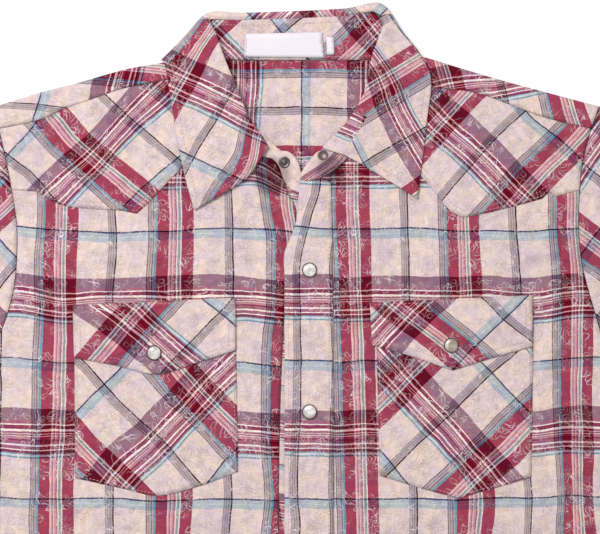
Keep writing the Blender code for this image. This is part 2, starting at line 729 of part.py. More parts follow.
# ---------------------------------------------------------------- snaps
def turned(name, profile, slot, place):
    """A turned piece, standing on a point of the cloth."""
    mesh = bpy.data.meshes.new(name)
    points = [Vector((radius, 0, height)) * MM for radius, height in PROFILES[profile]]
    mesh.from_pydata(points, [(index, index + 1) for index in range(len(points) - 1)], [])
    mesh.materials.append(material(slot))
    made = bpy.data.objects.new(name, mesh)
    shirt.objects.link(made)
    spin = made.modifiers.new("Turn", "SCREW")
    spin.steps = spin.render_steps = SNAP_SIDES
    spin.use_merge_vertices = True
    spin.merge_threshold = 0.00001
    made.location = Vector(place) * MM
    return made


def seated(height, x, y):
    """The place of a snap on cloth of the given height."""
    around = [(x + SNAP_RADIUS * math.cos(turn), y + SNAP_RADIUS * math.sin(turn))
              for turn in (step * math.pi / 4 for step in range(8))]
    return (x, y, max(height(*spot) for spot in around + [(x, y)]) + SEAM)


def snaps(cuff_places):
    """The pearl caps of the front, flaps and cuffs, and the metal parts on the stand's tabs."""
    for index in range(FRONT_SNAPS):
        place = seated(front_top("right", 1), FIRST_SNAP[0], FIRST_SNAP[1] - index * SNAP_PITCH)
        turned(f"snap_front_{index + 1}", "pearl", "pearl", place)
    for side, (x, y) in FLAP_SNAP.items():
        turned(f"snap_flap_{side}", "pearl", "pearl", seated(front_top(side, 2), x, y))
        cuff = (*cuff_places[side], 2 * FOLD + SEAM)
        turned(f"snap_cuff_{side}", "pearl", "pearl", cuff)
    for name, (profile, place, tilt) in TAB_SNAPS.items():
        turned(name, profile, "snap_metal", place).rotation_euler.x = math.radians(tilt)


def rest_on_origin():
    """Move the whole shirt, so that the middle of its base is at the origin."""
    bpy.context.view_layer.update()
    graph = bpy.context.evaluated_depsgraph_get()
    corners = [part.matrix_world @ Vector(corner) for part in shirt.objects
               for corner in part.evaluated_get(graph).bound_box]
    low = [min(corner[axis] for corner in corners) for axis in range(3)]
    high = [max(corner[axis] for corner in corners) for axis in range(3)]
    move = Vector(((low[0] + high[0]) / -2, (low[1] + high[1]) / -2, -low[2]))
    for part in shirt.objects:
        part.location += move


# ---------------------------------------------------------------- the shirt
for old in list(bpy.data.objects):
    bpy.data.objects.remove(old)
shirt = bpy.data.collections.new("western_snap_shirt")
bpy.context.scene.collection.children.link(shirt)

back()
back_yoke()
cuff_snaps = {}
for hand in ("left", "right"):
    front(hand)
    front_yoke(hand)
    pocket(hand)
    flap(hand)
    cuff_snaps[hand] = sleeve_and_cuff(hand)
placket()
placket_under()
collar()
collar_stand()
label("label", LABEL)
label("size_tab", SIZE_TAB)
snaps(cuff_snaps)
rest_on_origin()
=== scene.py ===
# %% [markdown]
# # A western snap shirt, laid flat
#
# A plaid cotton shirt lies on its back on a pale floor with its collar open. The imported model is
# loaded first and never changes: it says where each sewn piece is. Each cloth piece is then made
# again as a thin shell of fine triangles on the same form, because a woven shirt shows creases,
# puckers and threads that a solid for collision doesn't need. The work goes from the floor up:
# helpers, heights, panels, sleeves, collar, stitches, snaps, finishes, and the view.

# %% Load the frame
import math

import bpy
import numpy as np
from mathutils import Matrix, Vector
from mathutils.geometry import delaunay_2d_cdt


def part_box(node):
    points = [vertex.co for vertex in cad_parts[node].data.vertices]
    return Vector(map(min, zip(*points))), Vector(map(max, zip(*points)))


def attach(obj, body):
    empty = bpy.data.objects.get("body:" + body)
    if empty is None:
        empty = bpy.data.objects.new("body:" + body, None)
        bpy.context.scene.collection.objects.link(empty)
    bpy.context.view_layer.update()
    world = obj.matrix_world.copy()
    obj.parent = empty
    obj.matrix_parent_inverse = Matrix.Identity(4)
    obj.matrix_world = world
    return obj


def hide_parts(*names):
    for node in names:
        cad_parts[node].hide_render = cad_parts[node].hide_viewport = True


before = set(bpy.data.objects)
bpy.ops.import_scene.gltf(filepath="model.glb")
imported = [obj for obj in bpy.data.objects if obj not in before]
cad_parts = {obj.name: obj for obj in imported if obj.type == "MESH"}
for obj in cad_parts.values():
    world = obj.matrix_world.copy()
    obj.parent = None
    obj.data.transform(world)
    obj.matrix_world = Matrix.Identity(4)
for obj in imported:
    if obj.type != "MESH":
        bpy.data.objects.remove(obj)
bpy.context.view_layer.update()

# %% [markdown]
# Sizes are in millimetres from the middle of the back neck seam, as a pattern cutter would give
# them. The frame's own origin is the middle of the shirt's base, so one vector takes a point from
# one to the other. It is read from the first snap, whose place on the placket is known.

# %% Units and places
MM = 0.001
FIRST_SNAP = (10.0, -168.0)
low, high = (Vector(corner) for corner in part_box("snap_front_1"))
middle = (low + high) / 2 / MM
ORIGIN = np.array([middle.x - FIRST_SNAP[0], middle.y - FIRST_SNAP[1], 0.0])
print("from the neck to the frame, mm:", ORIGIN.round(2))

CLOTH = 1.0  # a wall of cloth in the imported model
THIN = 0.6  # the same wall as it looks
SEAM = 0.3
LAYER = 1.4  # from one layer to the next
FOLD = 2.5  # outer radius of a folded edge
SPACING = 3.0  # between the points of a panel
BACK_SPACING = 7.0

# %% [markdown]
# The cut. These tables are the pattern: each edge of the shirt as it lies, x then y. Left and
# right are the viewer's.

# %% The edges of the pieces
ARM_Y = [-37, -55, -83, -104, -132, -158, -181, -205, -225, -262, -298]
ARM_X = {
    "left": [240, 238, 232, 228, 224, 224, 226, 232, 240, 254, 270],
    "right": [241, 235, 228, 226, 225, 227, 232, 239, 245, 257, 270],
    "back": [240, 238, 236, 235, 235, 236, 238, 241, 245, 256, 270],
}
SIDE = [(-298, 270), (-380, 264), (-470, 260), (-560, 262), (-650, 267), (-695, 270)]
HEM = [(270, 0.0), (252, 0.03), (215, 0.24), (170, 0.58), (110, 0.87), (50, 0.98), (0, 1.0)]
HEM_Y = -695.0
FRONT_TAIL = 65.0
BACK_TAIL = 85.0
YOKE_SEAM_Y = -132.0
SHOULDER = {
    "left": [(-78, 6), (-105, -2), (-129, -6), (-146, -10), (-174, -18), (-205, -26), (-240, -37)],
    "right": [(79, 8), (102, 2), (128, -6), (162, -16), (199, -26), (229, -34), (241, -37)],
}
FRONT_SEAM = {
    "left": [(-81.5, -11), (-109, -17), (-139, -23), (-160, -30), (-183, -38), (-206, -48), (-238, -55)],
    "right": [(83.5, -15), (107, -22), (136, -25), (155, -30), (178, -39), (205, -48), (235, -55)],
}
FRONT_NECK = {
    "left": [(-81, -11), (-80, -22), (-75, -38), (-63, -57), (-45, -71), (-31, -77),
             (-20, -79), (-14, -86), (-10, -95), (-3, -97), (3, -97)],
    "right": [(83, -15), (81, -26), (76, -42), (66, -57), (52, -70), (42, -75),
              (36, -78), (24, -84), (14, -89), (8, -92), (3, -96)],
}
YOKE_EDGE = {
    "left": [(-228, -104), (-209, -105), (-201, -110), (-188, -116), (-166, -119), (-145, -120),
             (-128, -123), (-118, -114), (-110, -105), (-94, -88), (-78, -70), (-63, -57)],
    "right": [(226, -104), (207, -109), (202, -105), (196, -111), (174, -117), (149, -123),
              (132, -126), (120, -119), (115, -112), (95, -88), (80, -70), (66, -57)],
}
PLACKET_TOP = [(3, -96), (0, -120), (-1, -131), (-6, -144), (-10, -154), (-10, -175)]
UNDERLAP_TOP = [(-10.5, -95.8), (-6, -108), (-1, -118), (0, -132), (-5, -155), (-8, -175)]
PLACKET_X = (-10.0, 27.5)
UNDERLAP_X = (-8.0, 28.0)
POCKET = {
    "left": [(-178, -206), (-49, -204), (-47, -329), (-83, -342), (-114, -348), (-137, -343), (-177, -334)],
    "right": [(63, -204), (189, -200), (187, -333), (158, -342), (129, -350), (98, -342), (66, -332)],
}
FLAP = {
    "left": [(-179, -196), (-49, -190), (-49, -232), (-80, -242), (-112, -251), (-145, -244), (-178, -238)],
    "right": [(58, -194), (188, -188), (188, -229), (156, -238), (124, -248), (92, -237), (60, -228)],
}
LABEL = [(-41, 20.6), (20, 21.8), (21.6, 1.6), (-42.2, 2.4)]
SIZE_TAB = [(23.4, 18), (29.4, 18), (29.8, 4), (23.8, 4)]
SIGN = {"left": -1, "right": 1}
ROOT_BODY = "root"
print("from the neck seam to the tail, mm:", BACK_TAIL - HEM_Y)


# %% [markdown]
# Lines and curves. A sewn edge is smooth except at its corners. `curved` runs a soft curve through
# the points of a closed outline and keeps each sharp turn, and `filled` lays a lattice of points
# inside it and joins them into triangles, so that a panel can bend anywhere.

# %% Helpers for lines
def smoothstep(low, high, value):
    share = np.clip((value - low) / (high - low), 0, 1)
    return share * share * (3 - 2 * share)


def along(rows, value):
    rows = sorted(rows)
    return np.interp(value, [row[0] for row in rows], [row[1] for row in rows])


def smooth(points, parts, closed=False):
    """A Catmull-Rom curve through the points, each stretch in equal parts."""
    points = np.asarray(points, float)
    before, after = 2 * points[:1] - points[1:2], 2 * points[-1:] - points[-2:-1]
    if closed:
        before, after = points[-1:], points[:2]
    ends = np.concatenate([before, points, after])
    t = (np.arange(parts) / parts).reshape((-1,) + (1,) * (points.ndim - 1))
    pieces = [0.5 * (2 * b + (c - a) * t + (2 * a - 5 * b + 4 * c - d) * t ** 2
                     + (3 * b - a - 3 * c + d) * t ** 3)
              for a, b, c, d in zip(ends, ends[1:], ends[2:], ends[3:])]
    return np.concatenate(pieces + ([] if closed else [points[-1:]]))


def smooth_grid(grid, down_parts, across_parts, closed=False):
    """Smooth curves through a grid of points, down it and then across it."""
    fine = smooth(grid, down_parts)
    return smooth(fine.transpose(1, 0, 2), across_parts, closed).transpose(1, 0, 2)


def unit(vectors):
    """The same directions, each one long."""
    return vectors / np.maximum(np.linalg.norm(vectors, axis=-1, keepdims=True), 1e-6)


def beside(points, distance):
    """The same line moved sideways, to its left as it runs."""
    points = np.asarray(points, float)[:, :2]
    run = unit(np.gradient(points, axis=0))
    return points + np.column_stack([-run[:, 1], run[:, 0]]) * distance


CORNER = math.radians(28)  # a sharper turn than this stays a corner
ROW_PITCH = 0.87  # of the spacing, between the rows of a lattice
MARGIN = 0.55  # of the spacing, that the lattice keeps off the edge


def curved(outline, spacing):
    """A closed outline with soft stretches between its corners."""
    points = np.asarray(outline, float)
    after = np.roll(points, -1, axis=0) - points
    length = np.linalg.norm(after, axis=1)
    heading = after / length[:, None]
    before = np.roll(heading, 1, axis=0)
    turn = np.arccos(np.clip((heading * before).sum(axis=1), -1, 1))
    soft, sharp = unit(heading + before), (turn > CORNER)[:, None]
    leaving = np.where(sharp, heading, soft)
    arriving = np.roll(np.where(sharp, before, soft), -1, axis=0)
    line = []
    for index, start in enumerate(points):
        end = points[(index + 1) % len(points)]
        t = np.arange(max(1, round(length[index] / spacing)))[:, None]
        t = t / len(t)
        line.append((2 * t ** 3 - 3 * t ** 2 + 1) * start + (3 * t ** 2 - 2 * t ** 3) * end
                    + length[index] * ((t ** 3 - 2 * t ** 2 + t) * leaving[index]
                                       + (t ** 3 - t ** 2) * arriving[index]))
    return np.concatenate(line)


def clearance(outline, spots):
    """The distance of each spot to a closed outline, below zero outside it."""
    nearest = np.full(len(spots), np.inf)
    within = np.zeros(len(spots), bool)
    x, y = spots.T
    for (x0, y0), (x1, y1) in zip(outline, np.roll(outline, -1, axis=0)):
        run_x, run_y = x1 - x0, y1 - y0
        share = np.clip(((x - x0) * run_x + (y - y0) * run_y) / max(run_x ** 2 + run_y ** 2, 1e-9), 0, 1)
        nearest = np.minimum(nearest, np.hypot(x - x0 - share * run_x, y - y0 - share * run_y))
        if y0 != y1:
            crosses = (y0 > y) != (y1 > y)
            within ^= crosses & (x < x0 + (y - y0) * run_x / run_y)
    return np.where(within, nearest, -nearest)


def filled(outline, spacing):
    """Points, triangles and each point's distance to the edge, for a flat piece."""
    (left, low), (right, high) = outline.min(axis=0), outline.max(axis=0)
    columns, rows = np.arange(left, right, spacing), np.arange(low, high, spacing * ROW_PITCH)
    grid_x, grid_y = np.meshgrid(columns, rows)
    grid_x = grid_x + (np.arange(len(grid_x)) % 2)[:, None] * spacing / 2
    spots = np.column_stack([grid_x.ravel(), grid_y.ravel()])
    spots = spots[clearance(outline, spots) > spacing * MARGIN]
    count = len(outline)
    points = [Vector(point) for point in np.concatenate([outline, spots])]
    edges = [(index, (index + 1) % count) for index in range(count)]
    points, _, faces, *_ = delaunay_2d_cdt(points, edges, [], 1, 1e-5)
    points = np.array([tuple(point) for point in points])
    return points, faces, np.maximum(clearance(outline, points), 0)


# %% [markdown]
# Heights. The chest stands a little off the back, and it rolls down to the folded shoulders. On
# top of that each panel shares one relief: soft ridges where the cloth was pushed together,
# creases pressed in along the pocket, yoke and armhole, and the fine crinkle of a washed cotton.
# One relief for all layers keeps a pocket on its front wherever the front rises.

# %% The height of the fronts
LOFT = 1.6  # how far the chest stands off the back
LOFT_REACH = 85.0  # from the side of the body to where it stands so high
RIDGE_REACH = 62.0  # the same for the ridges
SHOULDER_ROLL = 62.0  # below the folded shoulder, where its roll ends
TAIL_FADE = (-770, -660)
COLLAR_DOWN = (-46, -14)  # where the yoke starts to ride up over the collar, and where it lies on it
COLLAR_OUT = (112, 165)
LAP = (34, 84)  # from where the right front lies on the left one to where it doesn't
# both ends of each ridge, its height and its width
RIDGES = [
    (-205, -150, -120, -185, 1.5, 38), (205, -160, 110, -150, 1.3, 36),
    (-215, -280, -90, -420, 1.5, 42), (210, -300, 120, -430, 1.6, 40),
    (-150, -470, -60, -640, 1.4, 45), (160, -520, 80, -660, 1.4, 44),
    (-60, -130, -30, -300, 1.0, 36), (70, -390, 60, -560, 1.2, 40),
]
TOP_EDGE = np.concatenate([smooth(SHOULDER["left"], 4)[::-1], smooth(SHOULDER["right"], 4)])


def shoulder_y(x):
    return np.interp(x, TOP_EDGE[:, 0], TOP_EDGE[:, 1])


def body_half_width(y):
    rows = list(zip(ARM_Y, ARM_X["left"])) + SIDE[1:]
    return along(rows, y)


def collar_lift(x, y):
    """How far the yoke rides up over the part of the collar that lies under it."""
    return LAYER * smoothstep(*COLLAR_DOWN, y) * (1 - smoothstep(*COLLAR_OUT, np.abs(x)))


def ridge(x, y, row):
    """A soft ridge between two points: its height, then its width."""
    x0, y0, x1, y1, height, width = row
    run_x, run_y = x1 - x0, y1 - y0
    share = np.clip(((x - x0) * run_x + (y - y0) * run_y) / (run_x ** 2 + run_y ** 2), 0, 1)
    gap = np.hypot(x - x0 - share * run_x, y - y0 - share * run_y)
    return height * np.exp(-(gap / width) ** 2)


def top(x, y):
    """The height of the upper face of the fronts, before its relief."""
    flat = LAYER + CLOTH + collar_lift(x, y)
    edge = body_half_width(y) - np.abs(x)
    rise = LOFT * smoothstep(0, LOFT_REACH, edge) * smoothstep(*TAIL_FADE, y)
    for row in RIDGES:
        rise = rise + ridge(x, y, row) * smoothstep(0, RIDGE_REACH, edge)
    drop = shoulder_y(x) - y
    roll = (2 * FOLD + collar_lift(x, y) - flat - rise) * (1 - smoothstep(FOLD, SHOULDER_ROLL, drop))
    return flat + rise + np.maximum(roll, 0)


print("height in the middle of the chest, mm:", round(float(top(0, -300)), 2))

# %% [markdown]
# Creases placed one by one. Each is a soft trough or ridge that fades at both ends, and no two are
# alike in length, depth or distance. A fine crinkle of crossing waves covers the fronts, the
# sleeves and the collar.

# %% Creases and crinkle
# both ends, height (below zero for a trough) and width of each crease on the fronts
CREASES = [
    (-226, -118, -176, -150, -0.9, 5.0), (-214, -128, -150, -172, 0.8, 6.5),
    (-222, -190, -186, -214, 1.1, 7.0), (-206, -262, -182, -330, -0.8, 5.5),
    (-196, -150, -120, -146, 0.7, 5.0), (-100, -128, -60, -176, 0.8, 6.0),
    (-44, -110, -30, -186, -0.9, 5.0), (-30, -196, -22, -300, 0.8, 6.0),
    (-52, -250, -30, -262, -0.6, 4.5), (-160, -352, -60, -372, 0.9, 8.0),
    (222, -124, 176, -152, -0.9, 5.0), (208, -150, 140, -172, 0.9, 6.0),
    (232, -205, 196, -240, 1.1, 7.0), (204, -250, 198, -340, -0.8, 5.5),
    (60, -118, 48, -190, 0.8, 6.0), (46, -200, 40, -330, -0.8, 5.0),
    (110, -140, 70, -160, -0.7, 5.0), (150, -352, 60, -376, 0.9, 8.0),
    (-240, -330, -150, -400, 1.2, 9.0), (240, -350, 170, -470, 1.2, 9.0),
    (-90, -400, -70, -560, 1.0, 8.0), (60, -430, 90, -620, -0.9, 7.0),
    (-230, -520, -120, -560, -1.0, 8.0), (220, -560, 120, -600, 1.0, 8.0),
    (-40, -480, -34, -640, 0.8, 6.0), (-200, -640, -120, -690, 0.8, 7.0),
    (-170, -60, -120, -96, 0.6, 5.0), (-212, -70, -190, -96, -0.6, 4.5),
    (180, -60, 120, -100, 0.6, 5.0), (214, -72, 168, -110, -0.6, 5.0),
    (-150, -262, -120, -320, 0.5, 6.0), (-96, -256, -66, -318, -0.5, 5.0),
    (92, -256, 120, -322, 0.6, 6.0), (150, -250, 172, -318, -0.5, 5.0),
]
CRINKLE = [(9.0, 0.10), (14.0, 0.13), (26.0, 0.16), (52.0, 0.18)]  # wavelength and height
WAVES_EACH = 14
STRAY = (0.8, 1.3)  # how far a wavelength may stray from its own
CREASE_FADE = 14.0  # below the folded shoulder, where the creases have their full height


def ripple_waves(seed):
    """Waves in all directions, whose sum is a crinkle that never repeats."""
    random = np.random.default_rng(seed)
    waves = []
    for length, height in CRINKLE:
        for _ in range(WAVES_EACH):
            heading = random.uniform(0, 2 * math.pi)
            reach = 2 * math.pi / (length * random.uniform(*STRAY))
            waves.append((reach * math.cos(heading), reach * math.sin(heading),
                          random.uniform(0, 2 * math.pi), height * math.sqrt(2 / WAVES_EACH)))
    return waves


CHEST_WAVES = ripple_waves(11)


def crinkle(x, y, waves=CHEST_WAVES):
    total = np.zeros_like(x)
    for across, down, phase, height in waves:
        total += height * np.sin(across * x + down * y + phase)
    return total


def relief(x, y):
    """Creases and crinkle that all layers on a front share."""
    rise = crinkle(x, y)
    for row in CREASES:
        rise = rise + ridge(x, y, row)
    return rise * smoothstep(0, CREASE_FADE, shoulder_y(x) - y)


def lap(side, x):
    """How far the right front climbs where it laps over the left one."""
    return LAYER * (1 - smoothstep(*LAP, x)) if side == "right" else 0


def front_top(side, layers):
    """The height of what lies so many layers above a front."""
    return lambda x, y: top(x, y) + lap(side, x) + layers * LAYER + relief(x, y)


print("creases on the fronts:", len(CREASES), "and wide ridges:", len(RIDGES))

# %% [markdown]
# How the plaid lies. A few points along some stripes of each piece say how it was cut: `spread`
# finds the straight grain that fits them and adds the small bends as soft bumps. The result is kept
# as a UV map that counts repeats of the check, across the warp and along the weft.

# %% The grain of each piece
WARP_REPEAT = 93.0  # mm across one repeat of the warp stripes
WEFT_REPEAT = 107.0
WARP_COUNT = 118  # the parts that one repeat is divided into
WEFT_COUNT = 134
STEP = 0.8  # mm, the unit of the points
BEND_REACH = 26.0  # mm, how far a bend of the grain reaches
LOOSE = 0.12  # how far the grain may miss a point
# For each cut, points on warp stripes and then on weft stripes, after the count of the stripe. A
# point is in steps to the right of the middle of the back neck and down from it.
GRAIN = {
    "yoke_left": ("""
    118: -191,36 -158,65 -115,102 | 78: -227,50 -208,73 -185,93 -163,110 -138,130 | 41.2: -260,66
    -249,82 -236,94 -220,108 -185,139 -169,152 | 0: -288,98 -265,115 -249,133 -242,140 -292,92 -279,101
    -267,110 -257,121 -247,130""", """
    0: -289,94 -275,79 | 62: -254,130 -227,106 -196,78 -169,48 -146,24 | 91: -228,145 -208,125 -175,88
    -144,60 -127,47 | 134: -148,121 -118,97"""),
    "flap_left": ("""
    0: -132,309 -111,287 -95,270 -63,238 | 41.2: -181,308 -168,292 -153,274 -137,257 -123,243 | 78:
    -222,297 -191,261 -174,243""", """
    48: -222,254 -198,270 -167,295 -147,311 | 62: -205,246 -177,267 -158,281 -133,304 | 91: -151,245
    -139,259 -125,270 -93,297 | 134: -97,239 -79,252 -63,266"""),
    "pocket_left": ("""
    0: -212,302 -191,326 -170,348 -147,368 -126,389 -97,423 | 41.2: -140,315 -128,332 -115,344 -98,360
    -79,381 -59,400 | 64.5: -112,311 -83,343 -57,367 | -40: -220,355 -203,374 -181,396 -158,417 -142,434
    | -76.8: -222,407 -210,419""", """
    0: -220,351 -208,337 -194,325 -178,308 | 48: -194,392 -177,376 -158,360 -146,348 -132,334 | 62:
    -196,421 -153,379 -119,344 -95,316 -69,292 | 91: -153,417 -121,386 -100,364 -59,323 | 134: -91,424
    -80,409 -59,386"""),
    "flap_right": ("""
    0: 185,238 206,259 234,281 | 41.2: 125,240 142,256 156,267 174,281 192,297 | 64.5: 92,245 109,259
    142,283 167,305 | 78: 81,252 99,266 119,280 150,306""", """
    0: 178,287 210,257 230,237 | 48: 105,294 119,277 160,239 | 91: 74,259 90,242"""),
    "pocket_right": ("""
    0: 87,417 112,392 136,369 161,346 186,320 217,294 | 41.2: 137,428 161,406 186,381 212,355 224,344 |
    78: 198,421 217,406 238,385 | -40: 84,367 109,343 133,318 146,306 | -76.8: 84,313 98,298""", """
    0: 184,301 198,315 217,336 234,353 | 48: 136,318 154,337 175,358 198,385 | 62: 119,320 147,350
    175,383 210,421 | 91: 105,348 123,367 142,386 161,407 | 134: 83,389 97,405 111,423 | -43: 233,290
    236,294"""),
    "yoke_right": ("""
    0: 227,52 210,67 186,92 165,116 145,140 | 41.2: 260,73 248,85 224,107 205,129 184,153 | 78: 282,101
    265,117 254,129 | -40: 188,37 157,70 142,87 125,105 | -53.5: 173,34 126,83""", """
    0: 231,54 251,71 268,83 284,99 | 48: 173,53 201,80 224,104 | 62: 146,51 165,70 184,85 201,101
    221,123 | 91: 130,76 144,87 168,107 182,122 196,137"""),
    "leaf_left": ("""
    0: -60,25 -78,57 -92,78 -112,116 | 41.2: -55,89 -66,107 -77,124 -85,137 | 64.5: -37,74 -42,95
    -49,117 | -40: -78,-15 -96,18 -110,39 -119,57 | -53.5: -84,-28 -90,-20 -96,-10 -102,1 -110,17
    -122,36 | -76.8: -93,-40 -100,-30 -108,-20 -117,-10 -126,0 -132,7 | 36.2: -92,143 -71,113 -59,91
    -57,78 | 42.4: -75,126 -63,110 -55,100 -53,90 -52,79 | 57.6: -50,110 -46,100 -44,90 -44,79 | 66.5:
    -44,111 -40,100 -38,90 -36,79""", """
    48: -92,6 -62,18 | 62: -100,17 -82,25 -55,39 | 91: -114,43 -82,57 -57,70 | 134: -119,89 -90,103
    -64,115"""),
    "leaf_right": ("""
    0: 67,103 93,87 125,70 | 41.2: 67,57 110,29 135,14 | 64.5: 69,28 99,10 122,-5 | 78: 84,4 104,-8
    117,-15 | -40: 104,129 121,117""", """
    0: 51,75 57,87 64,100 | 48: 75,43 83,60 91,77 100,95 110,110 | 61.9: 70,2 75,10 79,18 82,28 86,40
    91,52 103,74 109,87 123,108 | 85.6: 76,-8 84,2 93,14 101,32 110,53 122,71 | 91: 81,-9 87,-1 107,34
    123,66 | 134: 89,-48 95,-40 102,-30 111,-19 120,-8 126,0"""),
    "stand": ("""
    0: -12,-28 4,-41 | 41.2: 38,-14 50,-26 63,-38 | 64.5: 54,1 66,-9 79,-24 | -40: -71,-26 -54,-40""", """
    0: -28,-41 -18,-28 | -43: -72,-25 -63,-17 -54,-8 | 48: 39,-42 46,-32 | 62: 59,-45 73,-26"""),
    "yoke_inside": ("""
    0: -47,48 3,47 53,49 | 41.2: -37,11 48,11 | -40: -17,86 13,86""", """
    0: 4,10 4,80 | 48: 50,15 50,50 | -43: -36,15 -37,40 -39,58"""),
    "strip_left": ("""
    0: -288,43 -257,45 -232,48 | 41.2: -198,19 -172,21 -144,24""", """
    0: -256,32 -263,55 | 48: -205,24 -208,38 | 62: -188,20 -191,33"""),
    "underlap": ("""
    20: -11,123 -7,145 | 32: 2,123 6,145""", """
    62: -9,123 1,124 | 91: -7,140 2,142"""),
    "front_left": ("""
    0: -182,152 -180,180 -182,210 -184,232 -184,435 | -51.4: -230,152 -230,180 -231,210 -231,240
    -230,270 -231,340 -233,390 -234,455 | -64.2: -242,152 -243,200 -242,270 -244,340 -247,400 -248,465 |
    -75.6: -250,152 -253,180 -254,210 -254,270 -256,340 -257,390 -259,455 | -85.5: -259,152 -262,190
    -262,250 -265,340 -266,400 -268,460 | -40: -218,155 -220,190 -221,230 -224,445 | 41.2: -140,175
    -141,194 -142,215 -142,232 | 53.8: -128,180 -129,215 | 66.6: -115,180 -116,215 | 78: -103,175
    -104,210 -104,232 -104,435 | 118: -66,130 -65,155 -64,194 -64,232 -65,435 | 160.4: -32,108 -31,120
    -28,136 -27,145 | 171.8: -13,114 -13,124 -17,137 -16,146 | 184.6: -5,126 -7,135 -4,145 | 159.2:
    -26,157 -22,178 -22,198 -22,240 -24,435""", """
    -72: -29,106 -19,113 -9,124 | -43: -57,124 -35,125 -26,128 -12,133 | 0: -280,165 -267,167 -233,170
    -191,172 -146,171 -117,170 -82,167 -65,168 -21,169 | 48: -280,212 -262,216 -237,218 -187,219
    -147,216 -122,215 -97,214 -67,214 | 61.9: -280,226 -257,228 -237,234 -207,232 -179,231 -147,231
    -107,230 -67,230 | 81: -282,244 -255,248 -227,252 | 91: -287,255 -267,256 -252,260 -227,261 -52,258
    | 134: -287,296 -257,300 -229,302 -58,301 | 182: -289,347 -257,348 -224,350 | 196: -292,363 -257,364
    -231,364 -57,364 | 225: -287,394 -259,396 | 268: -292,437 -257,438 -222,438 -139,440 -65,438"""),
    "front_right": ("""
    0: 110,145 111,180 112,232 120,437 | 118: 218,152 220,180 222,210 224,232 234,425 234,468 | -40:
    72,145 74,232 81,437 | -76.8: 37,130 38,165 40,198 | 78: 182,180 185,230 198,437 | 150.5: 251,165
    254,200 255,240 255,320 259,400 260,440 | 160.4: 260,152 262,200 264,240 264,280 264,340 264,400
    265,465 | 171.8: 269,165 273,200 273,280 273,340 274,400 276,465 | 184.6: 286,240 286,280 284,340
    285,400 287,465 | 196: 295,280 294,340 295,440""", """
    0: 48,168 118,167 165,171 208,170 223,171 253,169 278,168 | 48: 208,216 223,218 248,216 263,214
    283,213 | 61.9: 83,229 208,231 236,232 248,231 263,228 283,226 | 81: 238,252 263,248 288,245 | 91:
    238,262 263,258 283,256 | 134: 70,299 236,301 248,300 263,298 293,296 | 182: 239,351 253,349 263,346
    273,345 301,345 | 196: 73,363 239,365 253,363 263,362 301,362 | 225: 241,394 263,391 301,392 | 268:
    81,438 160,439 233,437 253,436 273,434 301,436"""),
    "placket": ("""
    0: 24,121 20,140 14,156 9,178 4,195 2,208 3,260 3,360 3,470 | 35: 50,121 47,140 42,156 38,178 35,195
    34,208 35,260 35,360 35,470""", """
    0: -2,165 10,167 31,168 | 48: -7,214 31,214 | 61.9: -7,228 31,228 | 91: -7,257 31,258 | 134: -7,299
    31,300 | 268: -7,437 31,438"""),
    "strip_right": ("""
    0: 206,22 211,45 | 41.2: 248,34 254,56 | 53.8: 262,38 268,60 | 64.5: 274,41 280,62 | 78: 285,44
    294,62 | -40: 163,11 169,31""", """
    91: 206,40 247,32 191,42 | 62: 168,16 189,15"""),
    "sleeve_left": ("""
    42.4: -297,126 -288,120 | 53.8: -297,148 -284,133 | 64.5: -297,158 -284,145 | 78: -297,171 -281,157
    | 118: -297,229 -289,217 -280,207""", """
    0: -297,177 -289,187 -280,197"""),
    "sleeve_right": ("""
    118: 285,103 293,110 303,117 | 78: 282,153 293,161 303,168 | 64.5: 284,170 293,177 303,186 | 41.2:
    285,200 293,204 303,212 | 0: 294,252 303,257""", """
    91: 285,128 291,117 303,101 | 134: 288,187 294,178 300,170"""),
    "leaf_under": ("""
    118: -51,-48 -48,-45 -45,-42 | 78: 1,-48 4,-45 7,-42 | 42.4: 48,-48 51,-45 54,-42""", """
    91: -41,-48 -44,-45 -47,-42 | 61.9: 2,-48 -1,-45 -4,-42 | 48: 22,-49 19,-46 16,-43"""),
    "tab_left": ("""
    5: -35,100 -14,123 | 25: -12,88 3,105""", """
    13: -45,77 -27,72 | 46: -15,124 3,130"""),
    "tab_right": ("""
    10: 4,118 14,97 33,87 43,90 | 30: 18,118 33,108 48,98""", """
    30: 6,108 17,94 31,86 | 56: 10,119 20,113 31,106 40,98 | 91: 16,122 27,117 40,108 51,96"""),
    "roll_right": ("""
    79: 67,48 64,60 61,72 55,84 | 92: 51,44 45,62 35,80 25,90""", """
    62: 55,53 67,60 | 91: 36,74 51,79"""),
}


def spread(chart, parts, slope=None):
    """A smooth count of repeats over a piece, from points along its stripes."""
    rows = [row.split(":") for row in chart.split("|")]
    spots = np.array([spot.split(",") for _, line in rows for spot in line.split()], float) * (STEP, -STEP)
    counts = np.array([float(count) for count, line in rows for _ in line.split()]) / parts
    centre = spots.mean(axis=0)
    away = spots - centre
    if slope is None:
        straight = np.linalg.lstsq(np.column_stack([away, np.ones(len(spots))]), counts, rcond=None)[0]
    else:
        straight = np.array([*slope, (counts - away @ slope).mean()])
    off = counts - away @ straight[:2] - straight[2]
    apart = np.linalg.norm(spots[:, None] - spots[None], axis=2)
    bumps = np.linalg.solve(np.exp(-(apart / BEND_REACH) ** 2) + np.eye(len(spots)) * LOOSE, off)

    def count(x, y):
        total = (x - centre[0]) * straight[0] + (y - centre[1]) * straight[1] + straight[2]
        for spot, bump in zip(spots, bumps):
            total = total + bump * np.exp(-((x - spot[0]) ** 2 + (y - spot[1]) ** 2) / BEND_REACH ** 2)
        return total
    return count


def slopes(turn):
    """How fast the counts of warp and weft grow along x and y, for a grain turned by some degrees."""
    cos, sin = math.cos(math.radians(turn)), math.sin(math.radians(turn))
    return np.array([cos, sin]) / WARP_REPEAT, np.array([sin, -cos]) / WEFT_REPEAT


